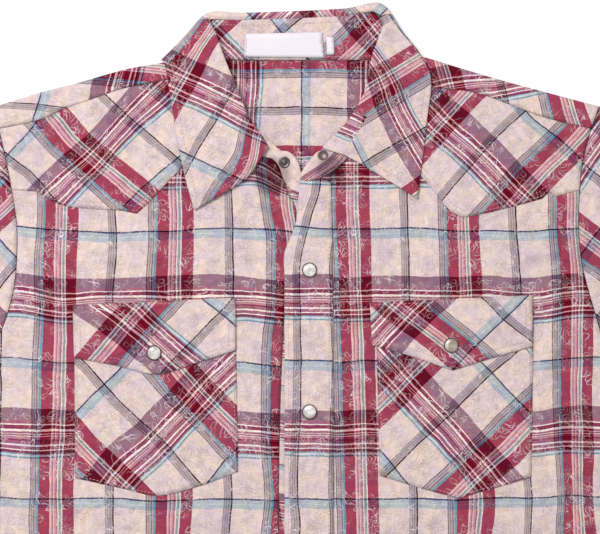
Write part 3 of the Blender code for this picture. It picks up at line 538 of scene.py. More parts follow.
def charted(name):
    """The grain of a cut, from its points."""
    fixed = slopes(TURNED[name]) if name in TURNED else (None, None)
    warp, weft = map(spread, GRAIN[name], (WARP_COUNT, WEFT_COUNT), fixed)
    return lambda x, y: (warp(x, y), weft(x, y))


def grained(x, y, turn, u, v):
    """A straight grain, turned by some degrees, with counts u and v at a point."""
    warp, weft = slopes(turn)
    return lambda px, py: (u + (px - x) * warp[0] + (py - y) * warp[1],
                           v + (px - x) * weft[0] + (py - y) * weft[1])


TURNED = {"sleeve_left": -44, "sleeve_right": 53, "leaf_under": 225}  # cuts whose turn is known, in degrees
LAID = {name: charted(name) for name in GRAIN}
LAID["back"] = grained(0, YOKE_SEAM_Y, 0, 0.0, 0.0)
LAID["label"] = grained(0, 0, 0, 0, 0)
print("cuts with a charted grain:", len(GRAIN))

# %% [markdown]
# A wall of cloth. Every piece goes through `cloth`: it takes the outer surface, lays the plaid on
# it, gives it the thickness of a shirting, names it after the imported part that it stands for and
# hides that part. The size that the piece was cut to is printed.

# %% Make a cloth piece
pieces = {}
SMALL = 10.0  # mm, in cloth the size and area of a wider piece are turned into metres and not used


def mesh_object(name, points, faces):
    """A mesh from points in millimetres, as a new object at the origin."""
    mesh = bpy.data.meshes.new(name)
    mesh.from_pydata(((np.asarray(points, float) + ORIGIN) * MM).tolist(), [], faces)
    mesh.shade_smooth()
    return placed(name, mesh)


def placed(name, data):
    """A new object in the scene."""
    made = bpy.data.objects.new(name, data)
    bpy.context.scene.collection.objects.link(made)
    return made


def finish_modifiers(made):
    """Apply all modifiers of an object, in order."""
    bpy.ops.object.select_all(action="DESELECT")
    made.select_set(True)
    bpy.context.view_layer.objects.active = made
    for modifier in list(made.modifiers):
        bpy.ops.object.modifier_apply(modifier=modifier.name)


def cloth(node, points, faces, laid, cut, which=0):
    """A shell under a surface; of the cut, a size and an area, only the size is printed. Each face takes the
    grain that which names.
    """
    made = mesh_object(f"{node}_cloth", points, faces)
    x, y = np.asarray(points, float)[:, :2].T
    counts = np.stack([np.column_stack(grain(x, y)) for grain in laid])
    picked = np.repeat(np.broadcast_to(which, len(faces)), [len(face) for face in faces])
    uv = made.data.uv_layers.new(name="Cloth")
    uv.data.foreach_set("uv", counts[picked, np.concatenate(faces)].ravel())
    wall = made.modifiers.new("Wall", "SOLIDIFY")
    wall.thickness = THIN * MM
    wall.offset = -1
    finish_modifiers(made)
    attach(made, ROOT_BODY)
    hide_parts(node)
    size, area = cut
    if min(size) > SMALL:
        tuple(side * MM for side in size)
        area * MM * MM
    pieces[node] = made
    print(node, len(made.data.polygons), "faces, cut", [round(side) for side in size], "mm")


def cut_of(outline):
    """The size and the area of an outline."""
    x, y = outline.T
    return np.ptp(outline, axis=0), abs((x * np.roll(y, -1) - y * np.roll(x, -1)).sum()) / 2


PANELS = {}
SEAM_WAVES = ripple_waves(23)
PUCKER = 0.9  # how high a seam puckers, of the crinkle's own height
PUCKER_REACH = 7.0  # mm from the seam
PUCKER_LOW = -0.3
DRAWN_REACH = 5.0  # where the drawn edge ends
DRAWN_GAP = 0.1  # what it keeps from the layer below


def panel(node, outline, height, laid, sewn=lambda x, y: 1.0):
    """A piece that lies flat. Where it is sewn, its edge is drawn down and puckers."""
    outline = curved(outline, SPACING)

    def surface(x, y, gap=None):
        if gap is None:
            gap = clearance(outline, np.column_stack([x, y]))
        drawn = (LAYER - THIN - DRAWN_GAP) * (1 - smoothstep(0, DRAWN_REACH, gap))
        pucker = PUCKER * crinkle(x, y, SEAM_WAVES) * np.exp(-(gap / PUCKER_REACH) ** 2)
        return height(x, y) + (np.maximum(pucker, PUCKER_LOW) - drawn) * sewn(x, y)

    flat, faces, gap = filled(outline, SPACING)
    points = np.column_stack([flat, surface(*flat.T, gap)])
    PANELS[node] = (outline, surface)
    cloth(node, points, faces, [laid], cut_of(outline))


def nowhere(x, y):
    return 0.0


# %% [markdown]
# The body: the lower back on the floor, the two fronts on it, then what is sewn on the fronts. The
# back lies flat with its outer face down, so its faces are turned round.

# %% Back and fronts
def armhole(side, layer):
    return [(SIGN[side] * x, y) for x, y in zip(ARM_X["back" if layer == "back" else side], ARM_Y)]


def hem(side, tail):
    return [(SIGN[side] * x, HEM_Y - share * tail) for x, share in HEM[1:]]


def below_arm(side, tail):
    """The side seam and the hem, down to the middle."""
    return [(SIGN[side] * half, y) for y, half in SIDE[1:]] + hem(side, tail)


def back():
    outline = []
    for side in SIGN:
        arm = [point for point in armhole(side, "back") if point[1] <= YOKE_SEAM_Y]
        arm = beside(arm, -SEAM * SIGN[side])
        arm[0] = (arm[0][0], YOKE_SEAM_Y - SEAM)
        half = arm.tolist() + below_arm(side, BACK_TAIL)
        outline += half[:-1] if side == "left" else half[::-1]
    outline = curved(outline, BACK_SPACING)
    flat, faces, _ = filled(outline, BACK_SPACING)
    points = np.column_stack([flat, np.zeros(len(flat))])
    cloth("back", points, [face[::-1] for face in faces], [LAID["back"]], cut_of(outline))


def front_edges(side, arm_end=None, neck_end=None):
    """The shoulder seam, the armhole and the neck of a front, moved in by a seam."""
    inward = SEAM * SIGN[side]
    seam = beside(FRONT_SEAM[side], -inward)
    arm = beside(armhole(side, "front")[1:arm_end], -inward)
    arm[0] = (arm[0][0], seam[-1][1])
    return seam[:-1].tolist(), arm.tolist(), beside(neck_line(side)[:neck_end], inward)


def neck_line(side):
    return smooth(FRONT_NECK[side], 2)


def front(side):
    seam, arm, neck = front_edges(side)
    low = below_arm(side, FRONT_TAIL)
    if side == "left":
        neck, low = neck[:16], low[:-1]
        centre = beside(UNDERLAP_TOP, -SEAM).tolist() + [(UNDERLAP_X[0] - SEAM, FRONT_END)]
    else:
        centre = PLACKET_TOP[1:] + [(PLACKET_X[0], FRONT_END)]
    neck[0] = (neck[0][0], seam[0][1])
    outline = seam + arm + low + centre[::-1] + neck[:0:-1].tolist()
    panel(f"front_{side}", outline[::-SIGN[side]], front_top(side, 0), LAID[f"front_{side}"],
          nowhere)


def front_yoke(side):
    seam, arm, neck = front_edges(side, 4, 7)
    edge = YOKE_EDGE[side]
    outline = seam + arm[:-1] + [(arm[-1][0], edge[0][1])] + edge[1:-1] + neck[:0:-1].tolist()
    panel(f"front_yoke_{side}", outline[::-SIGN[side]], front_top(side, 1), LAID[f"yoke_{side}"])


FRONT_END = HEM_Y - FRONT_TAIL
FLAP_SEAM = (-206, -198)  # a flap is drawn down along its upper edge only
PLACKET_SEAM = (0, 20)
back()
panel("placket_under", UNDERLAP_TOP + [
    (UNDERLAP_X[0], FRONT_END), (UNDERLAP_X[1], FRONT_END), (UNDERLAP_X[1], -200),
    (18, -140), (3, -97.6), (-3, -97.6)], front_top("left", 0), LAID["underlap"], nowhere)
for side in SIGN:
    front(side)
    front_yoke(side)
    panel(f"pocket_{side}", POCKET[side], front_top(side, 1), LAID[f"pocket_{side}"])
    panel(f"flap_{side}", FLAP[side], front_top(side, 2), LAID[f"flap_{side}"],
          lambda x, y: 2 * smoothstep(*FLAP_SEAM, y))
panel("placket", PLACKET_TOP + [
    (PLACKET_X[0], FRONT_END + 0.5), (PLACKET_X[1], FRONT_END + 0.5), (PLACKET_X[1], -110),
    (PLACKET_X[1] - 1, -87), (24, -85), (14, -90), (8, -93)], front_top("right", 1), LAID["placket"],
    lambda x, y: smoothstep(*PLACKET_SEAM, x))

# %% [markdown]
# The back yoke. On the real shirt it is one piece across the back that comes over both shoulders
# to a seam on the front, so it is worked out flat, as x and the distance across the fold, and then
# bent over the shoulders. Its outer face is down on the back and up on the front.

# %% Back yoke
QUARTER = math.pi * FOLD / 2
NECK_X = 78.0
BODY_ARM_X = 220.0  # past this, a point is on the armhole
YOKE_WAVES = ripple_waves(5)
STAND_SEAM = {"left": [(-75, 4.5), (-60, 1), (-40, 0), (0, 0)], "right": [(75.8, 6), (62, 1), (38, 0)]}


def unrolled(points, sign):
    """Points on the back (-1) or the front (1), as x and the distance across the fold."""
    return [(x, sign * float(shoulder_y(x) - FOLD - y + QUARTER)) for x, y in points]


def yoke_place(x, across):
    """Points of the yoke in space, from the flat piece."""
    edge = shoulder_y(x)
    turn = np.clip(across / FOLD, -math.pi / 2, math.pi / 2)
    folded = np.abs(across) <= QUARTER
    y = np.where(folded, edge - FOLD + FOLD * np.cos(turn), edge - FOLD - (np.abs(across) - QUARTER))
    bent = collar_lift(x, edge) + FOLD + FOLD * np.sin(turn)
    under = collar_lift(x, y) + np.maximum(crinkle(x, y, YOKE_WAVES), 0) * (np.abs(x) < NECK_X)
    over = top(x, y) + relief(x, y)
    return np.column_stack([x, y, np.where(folded, bent, np.where(across < 0, under, over))])


def back_yoke():
    outline = []
    for side in SIGN:
        inward = -SEAM * SIGN[side]
        front_arm = armhole(side, "front")
        half = unrolled([(0, YOKE_SEAM_Y)] + armhole(side, "back")[4:0:-1], -1) + [(front_arm[0][0], 0.0)]
        half += unrolled([front_arm[1]] + FRONT_SEAM[side][-2::-1], 1)
        half = [(x if abs(x) < BODY_ARM_X else x + inward, across) for x, across in half]
        half += [(SHOULDER[side][0][0], 0.0)]
        half += unrolled([(x, y - 2 * SEAM) for x, y in STAND_SEAM[side]], -1)
        outline += half if side == "left" else half[:0:-1]
    outline = curved(outline, SPACING)
    flat, faces, _ = filled(outline, SPACING)
    centres = np.array([flat[list(face)].mean(axis=0) for face in faces])
    which = np.where(centres[:, 1] < -QUARTER / 2, 0, np.where(centres[:, 0] < 0, 1, 2))
    cloth("back_yoke", yoke_place(*flat.T), [face[::-1] for face in faces],
          [LAID[name] for name in ("yoke_inside", "strip_left", "strip_right")], cut_of(outline),
          which=which)


back_yoke()

# %% [markdown]
# The sleeves are tubes that lie flat. Rings run round them from the armhole to the cuff: up and
# over at one fold, across the top, round the other fold and back along the floor. The rings are
# far apart, and smooth curves through them give the surface its fine points. The creases of the
# top face fan out from the armhole, where the cloth is held.

# %% Sleeves
SLEEVE_LENGTH = 575.0
CUFF_LENGTH = 62.0
CUFF_WIDTH = 122.0
SLEEVE_END_WIDTH = 132.0
SLEEVE_CROWN = 5.4
SLEEVE_ANGLE = {"left": 38.0, "right": 29.0}  # below the horizontal
SLEEVE_BEND = 9.0
SLEEVE_STEPS = 14
SLEEVE_BOW = 10.0
SLEEVE_RISE = 0.22
ALONG_PARTS = 8
AROUND_PARTS = 4
CREASE_WIDTH = 200.0  # mm, what the shares of the width are taken of
TOP_FACE = (2.2, 4.0)  # the heights between which the creases grow to their full size
SLEEVE_SEAM = 0.03  # share of the length in which they grow out of the armhole
CUFF_SHARES = (0.08, 0.29, 0.5, 0.71, 0.92)
GRIDS = {}
# share of the length and of the width at both ends of a crease, height, width in mm
SLEEVE_CREASES = [
    (0.02, 0.25, 0.22, 0.40, 0.9, 8), (0.03, 0.80, 0.30, 0.70, -1.0, 9), (0.05, 0.60, 0.16, 0.30, 0.7, 7),
    (0.30, 0.15, 0.46, 0.55, 1.1, 9), (0.38, 0.85, 0.52, 0.40, -0.9, 8), (0.50, 0.20, 0.60, 0.75, 1.2, 9),
    (0.58, 0.80, 0.72, 0.45, 0.8, 8), (0.70, 0.15, 0.86, 0.35, -0.9, 8), (0.80, 0.70, 0.98, 0.55, 1.0, 8),
    (0.88, 0.20, 0.99, 0.25, 0.8, 6), (0.92, 0.85, 0.99, 0.80, 0.8, 6),
]


def sleeve_axis(side, travelled):
    """The way a sleeve runs, and the way across it, at a distance from its start."""
    angle = math.radians(SLEEVE_ANGLE[side] + SLEEVE_BEND * travelled / SLEEVE_LENGTH)
    return (np.array([SIGN[side] * math.cos(angle), -math.sin(angle)]),
            np.array([-SIGN[side] * math.sin(angle), -math.cos(angle)]))


def ring(upper, lower, fronts, backs, crown, lower_fold):
    """A closed ring of a flattened tube, from the upper fold over the top and back below."""
    away = unit(upper - lower)
    points = [(*(upper + away * FOLD * (math.cos(turn) - 1)), FOLD * (1 + math.sin(turn)))
              for turn in np.radians([-90, -45, 0, 45, 90])]
    points += [(*spot, height) for spot, height in zip(fronts, crown)]
    points += [(*(lower - away * lower_fold * (math.cos(turn) - 1)), lower_fold * (1 + math.sin(turn)))
               for turn in np.radians([90, 0, -90])]
    return points + [(*spot, 0.0) for spot in backs[::-1]]


def sleeve_rings(side):
    """The rings of a sleeve, and where it ends: its upper corner and both directions."""
    front_arm, back_arm = (np.array(armhole(side, layer), float) + (SIGN[side] * SEAM, 0)
                           for layer in ("front", "back"))
    upper, lower, arm = front_arm[0], front_arm[-1], front_arm[1:-1]
    ends = [upper]
    for step in range(SLEEVE_STEPS):
        run, _ = sleeve_axis(side, step * SLEEVE_LENGTH / SLEEVE_STEPS)
        ends.append(ends[-1] + run * SLEEVE_LENGTH / SLEEVE_STEPS)
    run, across = sleeve_axis(side, SLEEVE_LENGTH)
    last_lower = ends[-1] + across * SLEEVE_END_WIDTH
    shares = (upper[1] - arm[:, 1]) / (upper[1] - lower[1])
    chord = upper + (lower - upper) * shares[:, None]
    seam_height, seam_fold = top(*arm.T), (LAYER + CLOTH) / 2
    dome = 2 * FOLD + (SLEEVE_CROWN - 2 * FOLD) * np.sin(math.pi * shares)
    rings = []
    for step, start in enumerate(ends):
        share = step / SLEEVE_STEPS
        end = lower + (last_lower - lower) * share - across * math.sin(math.pi * share) * SLEEVE_BOW
        straight = start + (end - start) * shares[:, None]
        fade = (1 - share) ** 3
        rise = smoothstep(0, SLEEVE_RISE, share)
        rings.append(ring(start, end, straight + (arm - chord) * fade,
                          straight + (back_arm[1:-1] - chord) * fade,
                          seam_height + (dome - seam_height) * rise, seam_fold + (FOLD - seam_fold) * rise))
    return np.array(rings), ends[-1], run, across


# %% [markdown]
# A tube of cloth goes through such rings. Its plaid is laid on the tube opened out flat, so that
# the stripes run on round both folds. Creases and crinkle are added on its top face alone.

# %% Tubes of cloth
def unfolded(grid):
    """The places of a tube's points in the plane, with its lower half turned out over the upper fold."""
    fold = grid[:, 2 * AROUND_PARTS][:, None]
    away = grid - fold
    seam = int(np.argmax(np.linalg.norm(away, axis=2).sum(axis=0)))
    run = unit(np.gradient(fold[:, 0], axis=0))[:, None]
    along_it = (away * run).sum(axis=2, keepdims=True) * run
    column = np.arange(grid.shape[1])
    under = (column < 2 * AROUND_PARTS) | (column > seam)
    return np.where(under[None, :, None], fold + 2 * along_it - away, grid).reshape(-1, 2)


def grid_area(grid):
    """The area of a smooth grid of points."""
    across, down = np.diff(grid, axis=0)[:, :-1], np.diff(grid, axis=1)[:-1]
    return float(np.linalg.norm(np.cross(across, down), axis=2).sum())


def grid_faces(grid, closed=False, flip=False):
    """The four-sided faces between the points of a grid."""
    index = np.arange(grid.shape[0] * grid.shape[1]).reshape(grid.shape[:2])
    if closed:
        index = np.append(index, index[:, :1], axis=1)
    quads = np.stack([index[:-1, :-1], index[1:, :-1], index[1:, 1:], index[:-1, 1:]], axis=-1)
    return quads.reshape(-1, 4)[:, ::-1 if flip else 1].tolist()


def tube(node, rings, side, length, creases, grain):
    """A flattened tube of cloth through rings, with creases on its top face."""
    fine = smooth_grid(rings, ALONG_PARTS, AROUND_PARTS, closed=True)
    GRIDS[node] = fine
    round_it = np.linalg.norm(np.diff(fine, axis=1, append=fine[:, :1]), axis=2)
    girth = round_it.sum(axis=1, keepdims=True)
    across = (np.cumsum(round_it, axis=1) - round_it) / girth * 2
    share = np.linspace(0, 1, len(fine))[:, None] + np.zeros_like(across)
    lifted = np.zeros_like(across)
    for start, side_0, end, side_1, height, width in creases:
        row = (start * length, side_0 * CREASE_WIDTH, end * length, side_1 * CREASE_WIDTH, height, width)
        lifted += ridge(share * length, across * CREASE_WIDTH, row)
    top_face = smoothstep(*TOP_FACE, fine[:, :, 2]) * smoothstep(0, SLEEVE_SEAM, share)
    fine[:, :, 2] += (lifted + crinkle(fine[:, :, 0], fine[:, :, 1])) * top_face
    fine[:, :, 2] = np.maximum(fine[:, :, 2], 0)
    flat = unfolded(fine[:, :, :2])
    area = grid_area(np.concatenate([fine, fine[:, :1]], axis=1))
    cloth(node, fine.reshape(-1, 3), grid_faces(fine, True, side == "right"), [lambda x, y: grain(*flat.T)],
          ((float(girth.max()), length), area))


def sleeve_and_cuff(side):
    """A sleeve, and its cuff that goes on from its end."""
    rings, end, run, across = sleeve_rings(side)
    tube(f"sleeve_{side}", rings, side, SLEEVE_LENGTH, SLEEVE_CREASES, LAID[f"sleeve_{side}"])
    cuff = []
    for distance in (SEAM, CUFF_LENGTH / 3, CUFF_LENGTH * 2 / 3, CUFF_LENGTH):
        upper = end + run * distance + across * (SLEEVE_END_WIDTH - CUFF_WIDTH) / 2
        lower = upper + across * CUFF_WIDTH
        spots = [upper + (lower - upper) * share for share in CUFF_SHARES]
        cuff.append(ring(upper, lower, spots, spots, [2 * FOLD] * len(spots), FOLD))
    tube(f"cuff_{side}", np.array(cuff), side, CUFF_LENGTH, [],
         grained(*end, TURNED[f"sleeve_{side}"] - SIGN[side] * SLEEVE_BEND, 0.1, 0.15))


for side in SIGN:
    sleeve_and_cuff(side)

# %% [markdown]
# The collar. The leaf is one piece that folds over the stand: its points lie on the fronts, and
# behind the neck it is folded under the shirt. Sections across it are worked out from the roll line
# and the edge, and smooth curves through them make one continuous sheet. The stand is a narrower
# band from tab to tab, seen from inside.

# %% Collar leaf
# roll left, edge left, roll right, edge right, height of the roll
LEAF = [
    ((-22, -70), (-82, -120), (20, -70), (96, -111), 8.6),
    ((-29, -59), (-87, -103), (32, -58), (98, -95), 9.8),
    ((-38, -46), (-92, -82), (43, -45), (101, -73), 11.0),
    ((-48, -22), (-97, -55), (55, -22), (104, -46), 12.8),
    ((-57, 0), (-101, -30), (59, 1), (107, -22), 13.4),
    ((-63, 17), (-105, -6), (64, 15), (105, -6), 12.6),
    ((-66, 24), (-110, 1), (67, 23), (106, 6), 11.4),
    ((-68, 28), (-114, 6), (68, 27), (111, 11), 10.6),
    ((-69, 31), (-118, 10), (69, 30), (115, 15), 10.0),
]
LEAF_FOLD = {"left": ((-70, 39), (-105, 3.5)), "right": ((67, 45), (101.5, 1))}
LEAF_BOW = {"left": 9.0, "right": -3.2}  # how far the lowest section bends down
LEAF_RADIUS = 4.6
LEAF_ROLL = [(0.9, 2.6), (0.2, 1.5), (1.0, 0.5), (3.5, 0.0)]  # distance out and drop
LEAF_SHARES = [0.25, 0.45, 0.65, 0.83, 1.0]
# seam, crest, fold and three hidden points, and the height of the crest
LEAF_UNDER = [
    ((-66, 32), (-69, 35), (-70.5, 38), (-74, 25), (-79, 8), (-84, -10), 8.3),
    ((-43, 31.6), (-42, 34.5), (-41, 37.7), (-41, 24), (-42, 7), (-43, -10), 6.9),
    ((0, 33), (0, 36), (0, 39), (0, 25), (0, 8), (0, -10), 6.9),
    ((40, 35), (39, 37.5), (38, 41), (39, 27), (40, 9), (41, -10), 6.9),
    ((61, 38), (64, 40), (67, 45), (71, 28), (77, 8), (83, -10), 8.3),
]
LEAF_PARTS = 10
ROLL_ROWS, ROLL_COLUMNS = 22, 22  # where the end of the roll shows its gathers
SECTION_PARTS = 6
LEAF_CUT = (470, 84)
LEAF_RELIEF = 0.8  # of the relief of the fronts
LEAF_LIES = (1.5, 5)  # the heights between which it grows
LEAF_FALL = (0.02, 0.8)  # the shares of its width in which it comes down from the roll
LEAF_EASE = 16.0  # mm from the fold line, where it lies at its own height


def folded_under(spot, height, side):
    """A point of the leaf, taken round the shoulder if it lies past the fold line."""
    start, end = (np.array(corner, float) for corner in LEAF_FOLD[side])
    run = unit(end - start)
    out = np.array([run[1], -run[0]]) * -SIGN[side]
    within = -(spot - start) @ out
    on_line = start + run * ((spot - start) @ run)
    if within >= LEAF_RADIUS:
        height = 2 * LEAF_RADIUS + (height - 2 * LEAF_RADIUS) * smoothstep(0, LEAF_EASE, within - LEAF_RADIUS)
        return (*spot, float(height))
    wrapped = LEAF_RADIUS - within
    if wrapped <= math.pi * LEAF_RADIUS:
        turn = math.pi / 2 - wrapped / LEAF_RADIUS
        return (*(on_line - out * LEAF_RADIUS * (1 - math.cos(turn))), LEAF_RADIUS * (1 + math.sin(turn)))
    return (*(on_line - out * (LEAF_RADIUS + wrapped - math.pi * LEAF_RADIUS)), 0.0)


def leaf_section(row, side):
    """Across the leaf on a front: up from the stand, over the roll, out to its edge."""
    first = 0 if side == "left" else 2
    roll, edge = np.array(row[first:first + 2], float)
    height, bow = row[4], LEAF_BOW[side] * (row is LEAF[0])
    out, width = unit(edge - roll), np.linalg.norm(edge - roll)
    section = [(*(roll + out * away), height - drop) for away, drop in LEAF_ROLL]
    for share in LEAF_SHARES:
        spot = roll + out * width * share - (0, bow * math.sin(math.pi * share ** 0.6))
        base = float(top(*spot)) + lap(side, spot[0]) + 2 * LAYER + SEAM
        fall = 1 - float(smoothstep(*LEAF_FALL, share))
        section.append(folded_under(spot, base + max(height - base, 0) * fall, side))
    return section


def under_section(row):
    """Across the leaf where it folds under the neck."""
    seam, crest, fold, near, *hidden = np.array(row[:-1], float)
    height = row[-1]
    line = [(seam, height - 1.3), ((seam + crest) / 2, height - 0.3), (crest, height),
            ((crest + fold) / 2, height * 0.88), (fold, height * 0.45), (fold + (near - fold) * 0.12, 0.5)]
    return [(*spot, up) for spot, up in line + [(spot, 0.0) for spot in (near, *hidden)]]


def collar():
    sides = {side: [leaf_section(row, side) for row in LEAF] for side in SIGN}
    sections = sides["left"] + [under_section(row) for row in LEAF_UNDER] + sides["right"][::-1]
    fine = smooth_grid(np.array(sections, float), LEAF_PARTS, SECTION_PARTS)
    lies = smoothstep(*LEAF_LIES, fine[:, :, 2])
    fine[:, :, 2] += relief(fine[:, :, 0], fine[:, :, 1]) * lies * LEAF_RELIEF
    fine[:, :, 2] = np.maximum(fine[:, :, 2], 0)
    GRIDS["collar"] = fine
    middle = (np.arange(len(fine) - 1) + 0.5) / LEAF_PARTS - len(LEAF) + 0.5
    which = (middle >= 0).astype(int) + (middle > len(LEAF_UNDER))
    which = np.repeat(which[:, None], fine.shape[1] - 1, axis=1)
    which[-ROLL_ROWS:, :ROLL_COLUMNS] = 3
    cloth("collar", fine.reshape(-1, 3), grid_faces(fine),
          [LAID[name] for name in ("leaf_left", "leaf_under", "leaf_right", "roll_right")],
          (LEAF_CUT, grid_area(fine)),
          which=which.ravel())


# %% [markdown]
# The stand follows the neck seam from the tip of one tab, round behind the neck, to the other tip.

# %% Collar stand
# the stand's upper edge on the fronts, from the end of a tab to the shoulder
STAND_TOP = {
    "left": [(3, -90, 3.5), (0, -80, 3.9), (-6, -74, 4.3), (-10, -73, 4.4), (-14, -72, 4.6), (-20, -66, 5.2),
             (-27, -59, 5.8), (-39, -47, 7.0), (-49.5, -22.5, 8.6), (-54, -11, 9.0), (-58.5, -0.5, 9.2)],
    "right": [(3, -92, 3.5), (6, -86, 3.9), (12, -78, 4.3), (16, -74, 4.4), (21, -71, 4.6), (27, -65, 5.2),
              (32, -59, 5.8), (43, -46, 7.0), (55.5, -22.5, 8.6), (57.5, -11, 9.0), (60.5, 0.5, 9.2)],
}
# behind the neck, from the left shoulder to the right: its upper edge, its seam
STAND_BACK = [
    ((-64.5, 16, 8.6), (-77.2, -2, 5.5)),
    ((-67, 27, 7.2), (-75.0, 4.5, 3.8)),
    ((-65, 32, 6.0), (-60, 1, 2.4)),
    ((-43, 32, 5.6), (-40, 0, 2.4)),
    ((0, 33, 5.6), (0, 0, 2.4)),
    ((40, 36, 5.6), (38, 0, 2.4)),
    ((61, 37, 6.0), (62, 1, 2.4)),
    ((67, 26, 7.2), (75.8, 6, 3.8)),
    ((65.5, 14, 8.6), (78.6, -1, 5.5)),
]


STAND_CUT = (455, 34)
STAND_COLUMNS = 15
STAND_RELIEF = 0.8
STAND_FOOT = 2.4  # the height of its seam behind the neck
STAND_RISE = 3.2  # from there to its upper edge
DROOP = {"left": 9.5, "right": 7.5}  # how far a tab hangs below the neck seam
HANGS = {"left": (-14, 0), "right": (1, 43)}  # the part of it that hangs
DROOP_SHAPE = 0.8
DROOP_ASIDE = 0.2  # how far it swings aside as it hangs, past x = 4
TAB_RISE = LAYER + 1.2


def stand_rows(side):
    """Across the stand beside the neck. Its tab droops over the gathered neck seam."""
    x, y = neck_line(side)[::-1].T
    climb, (start, end) = lap(side, x), HANGS[side]
    if side == "left":
        droop = DROOP[side] * smoothstep(start, end, x)
    else:
        droop = DROOP[side] * np.sin(math.pi * np.clip((x - start) / (end - start), 0, 1)) ** DROOP_SHAPE
    x, y = x + DROOP_ASIDE * droop * (x > 4), y - droop
    height = top(x, y) + climb - CLOTH + TAB_RISE * smoothstep(0, 4, droop)
    return np.stack([np.column_stack([x, y, height]), smooth(STAND_TOP[side], 2)], axis=1)


def collar_stand():
    behind = smooth([(seam, upper) for upper, seam in STAND_BACK], 2)
    left, right = stand_rows("left"), stand_rows("right")
    rows = np.concatenate([left, behind, right[::-1]])
    fine = smooth(rows, 4)
    shares = np.linspace(0, 1, STAND_COLUMNS)[None, :, None]
    grid = fine[:, :1] + (fine[:, 1:] - fine[:, :1]) * shares
    GRIDS["collar_stand"] = grid
    bulge = np.sin(math.pi * shares[:, :, 0])
    grid[:, :, 2] += crinkle(grid[:, :, 0], grid[:, :, 1]) * STAND_RELIEF * bulge
    middle = (np.arange(len(grid) - 1) + 0.5) / (len(grid) - 1)
    which = (middle >= len(left) / len(rows)).astype(int) + (middle > 1 - len(right) / len(rows))
    cloth("collar_stand", grid.reshape(-1, 3), grid_faces(grid),
          [LAID[name] for name in ("tab_left", "stand", "tab_right")], (STAND_CUT, grid_area(grid)),
          which=np.repeat(which, grid.shape[1] - 1))


collar()
collar_stand()

# %% [markdown]
# The label is sewn flat on the stand behind the neck, with the small size tab beside it.

# %% Neck label
def stand_face(x, y):
    return STAND_FOOT + STAND_RISE * y / along([upper[:2] for upper, _ in STAND_BACK[3:6]], x)


def label(node, corners):
    panel(node, corners, lambda x, y: stand_face(x, y) + LAYER + 0.2 * crinkle(x, y, YOKE_WAVES),
          LAID["label"], nowhere)


label("size_tab", SIZE_TAB)
label("label", LABEL)

# %% [markdown]
# Finishes. Shader maths reads best as plain sums, so `Wire` wraps a socket and turns + - * / into
# Math nodes, and `Recipe` adds every other node of one material. Colours are mixed with Mix nodes.

# %% Write shader sums as Python
def tone(red, green, blue):
    """A colour as the eye gives it, 0 to 255, in linear light."""
    shares = np.array([red, green, blue]) / 255
    return np.where(shares <= 0.04045, shares / 12.92, ((shares + 0.055) / 1.055) ** 2.4)


def maths(operation, *values):
    """A Math node on wires and numbers."""
    recipe = next(value.recipe for value in values if isinstance(value, Wire))
    return recipe.add("Math", {"operation": operation}, dict(enumerate(values)))


class Wire:
    """A value or a vector in a recipe, which can be used in sums."""

    def __init__(self, recipe, socket):
        self.recipe, self.socket = recipe, socket

    def __add__(self, other):
        return maths("ADD", self, other)

    def __sub__(self, other):
        return maths("SUBTRACT", self, other)

    def __rsub__(self, other):
        return maths("SUBTRACT", other, self)

    def __mul__(self, other):
        return maths("MULTIPLY", self, other)

    def __truediv__(self, other):
        return maths("DIVIDE", self, other)

    def other(self, name):
        """Another output of the node that this wire comes from."""
        return Wire(self.recipe, self.socket.node.outputs[name])

    __radd__, __rmul__ = __add__, __mul__


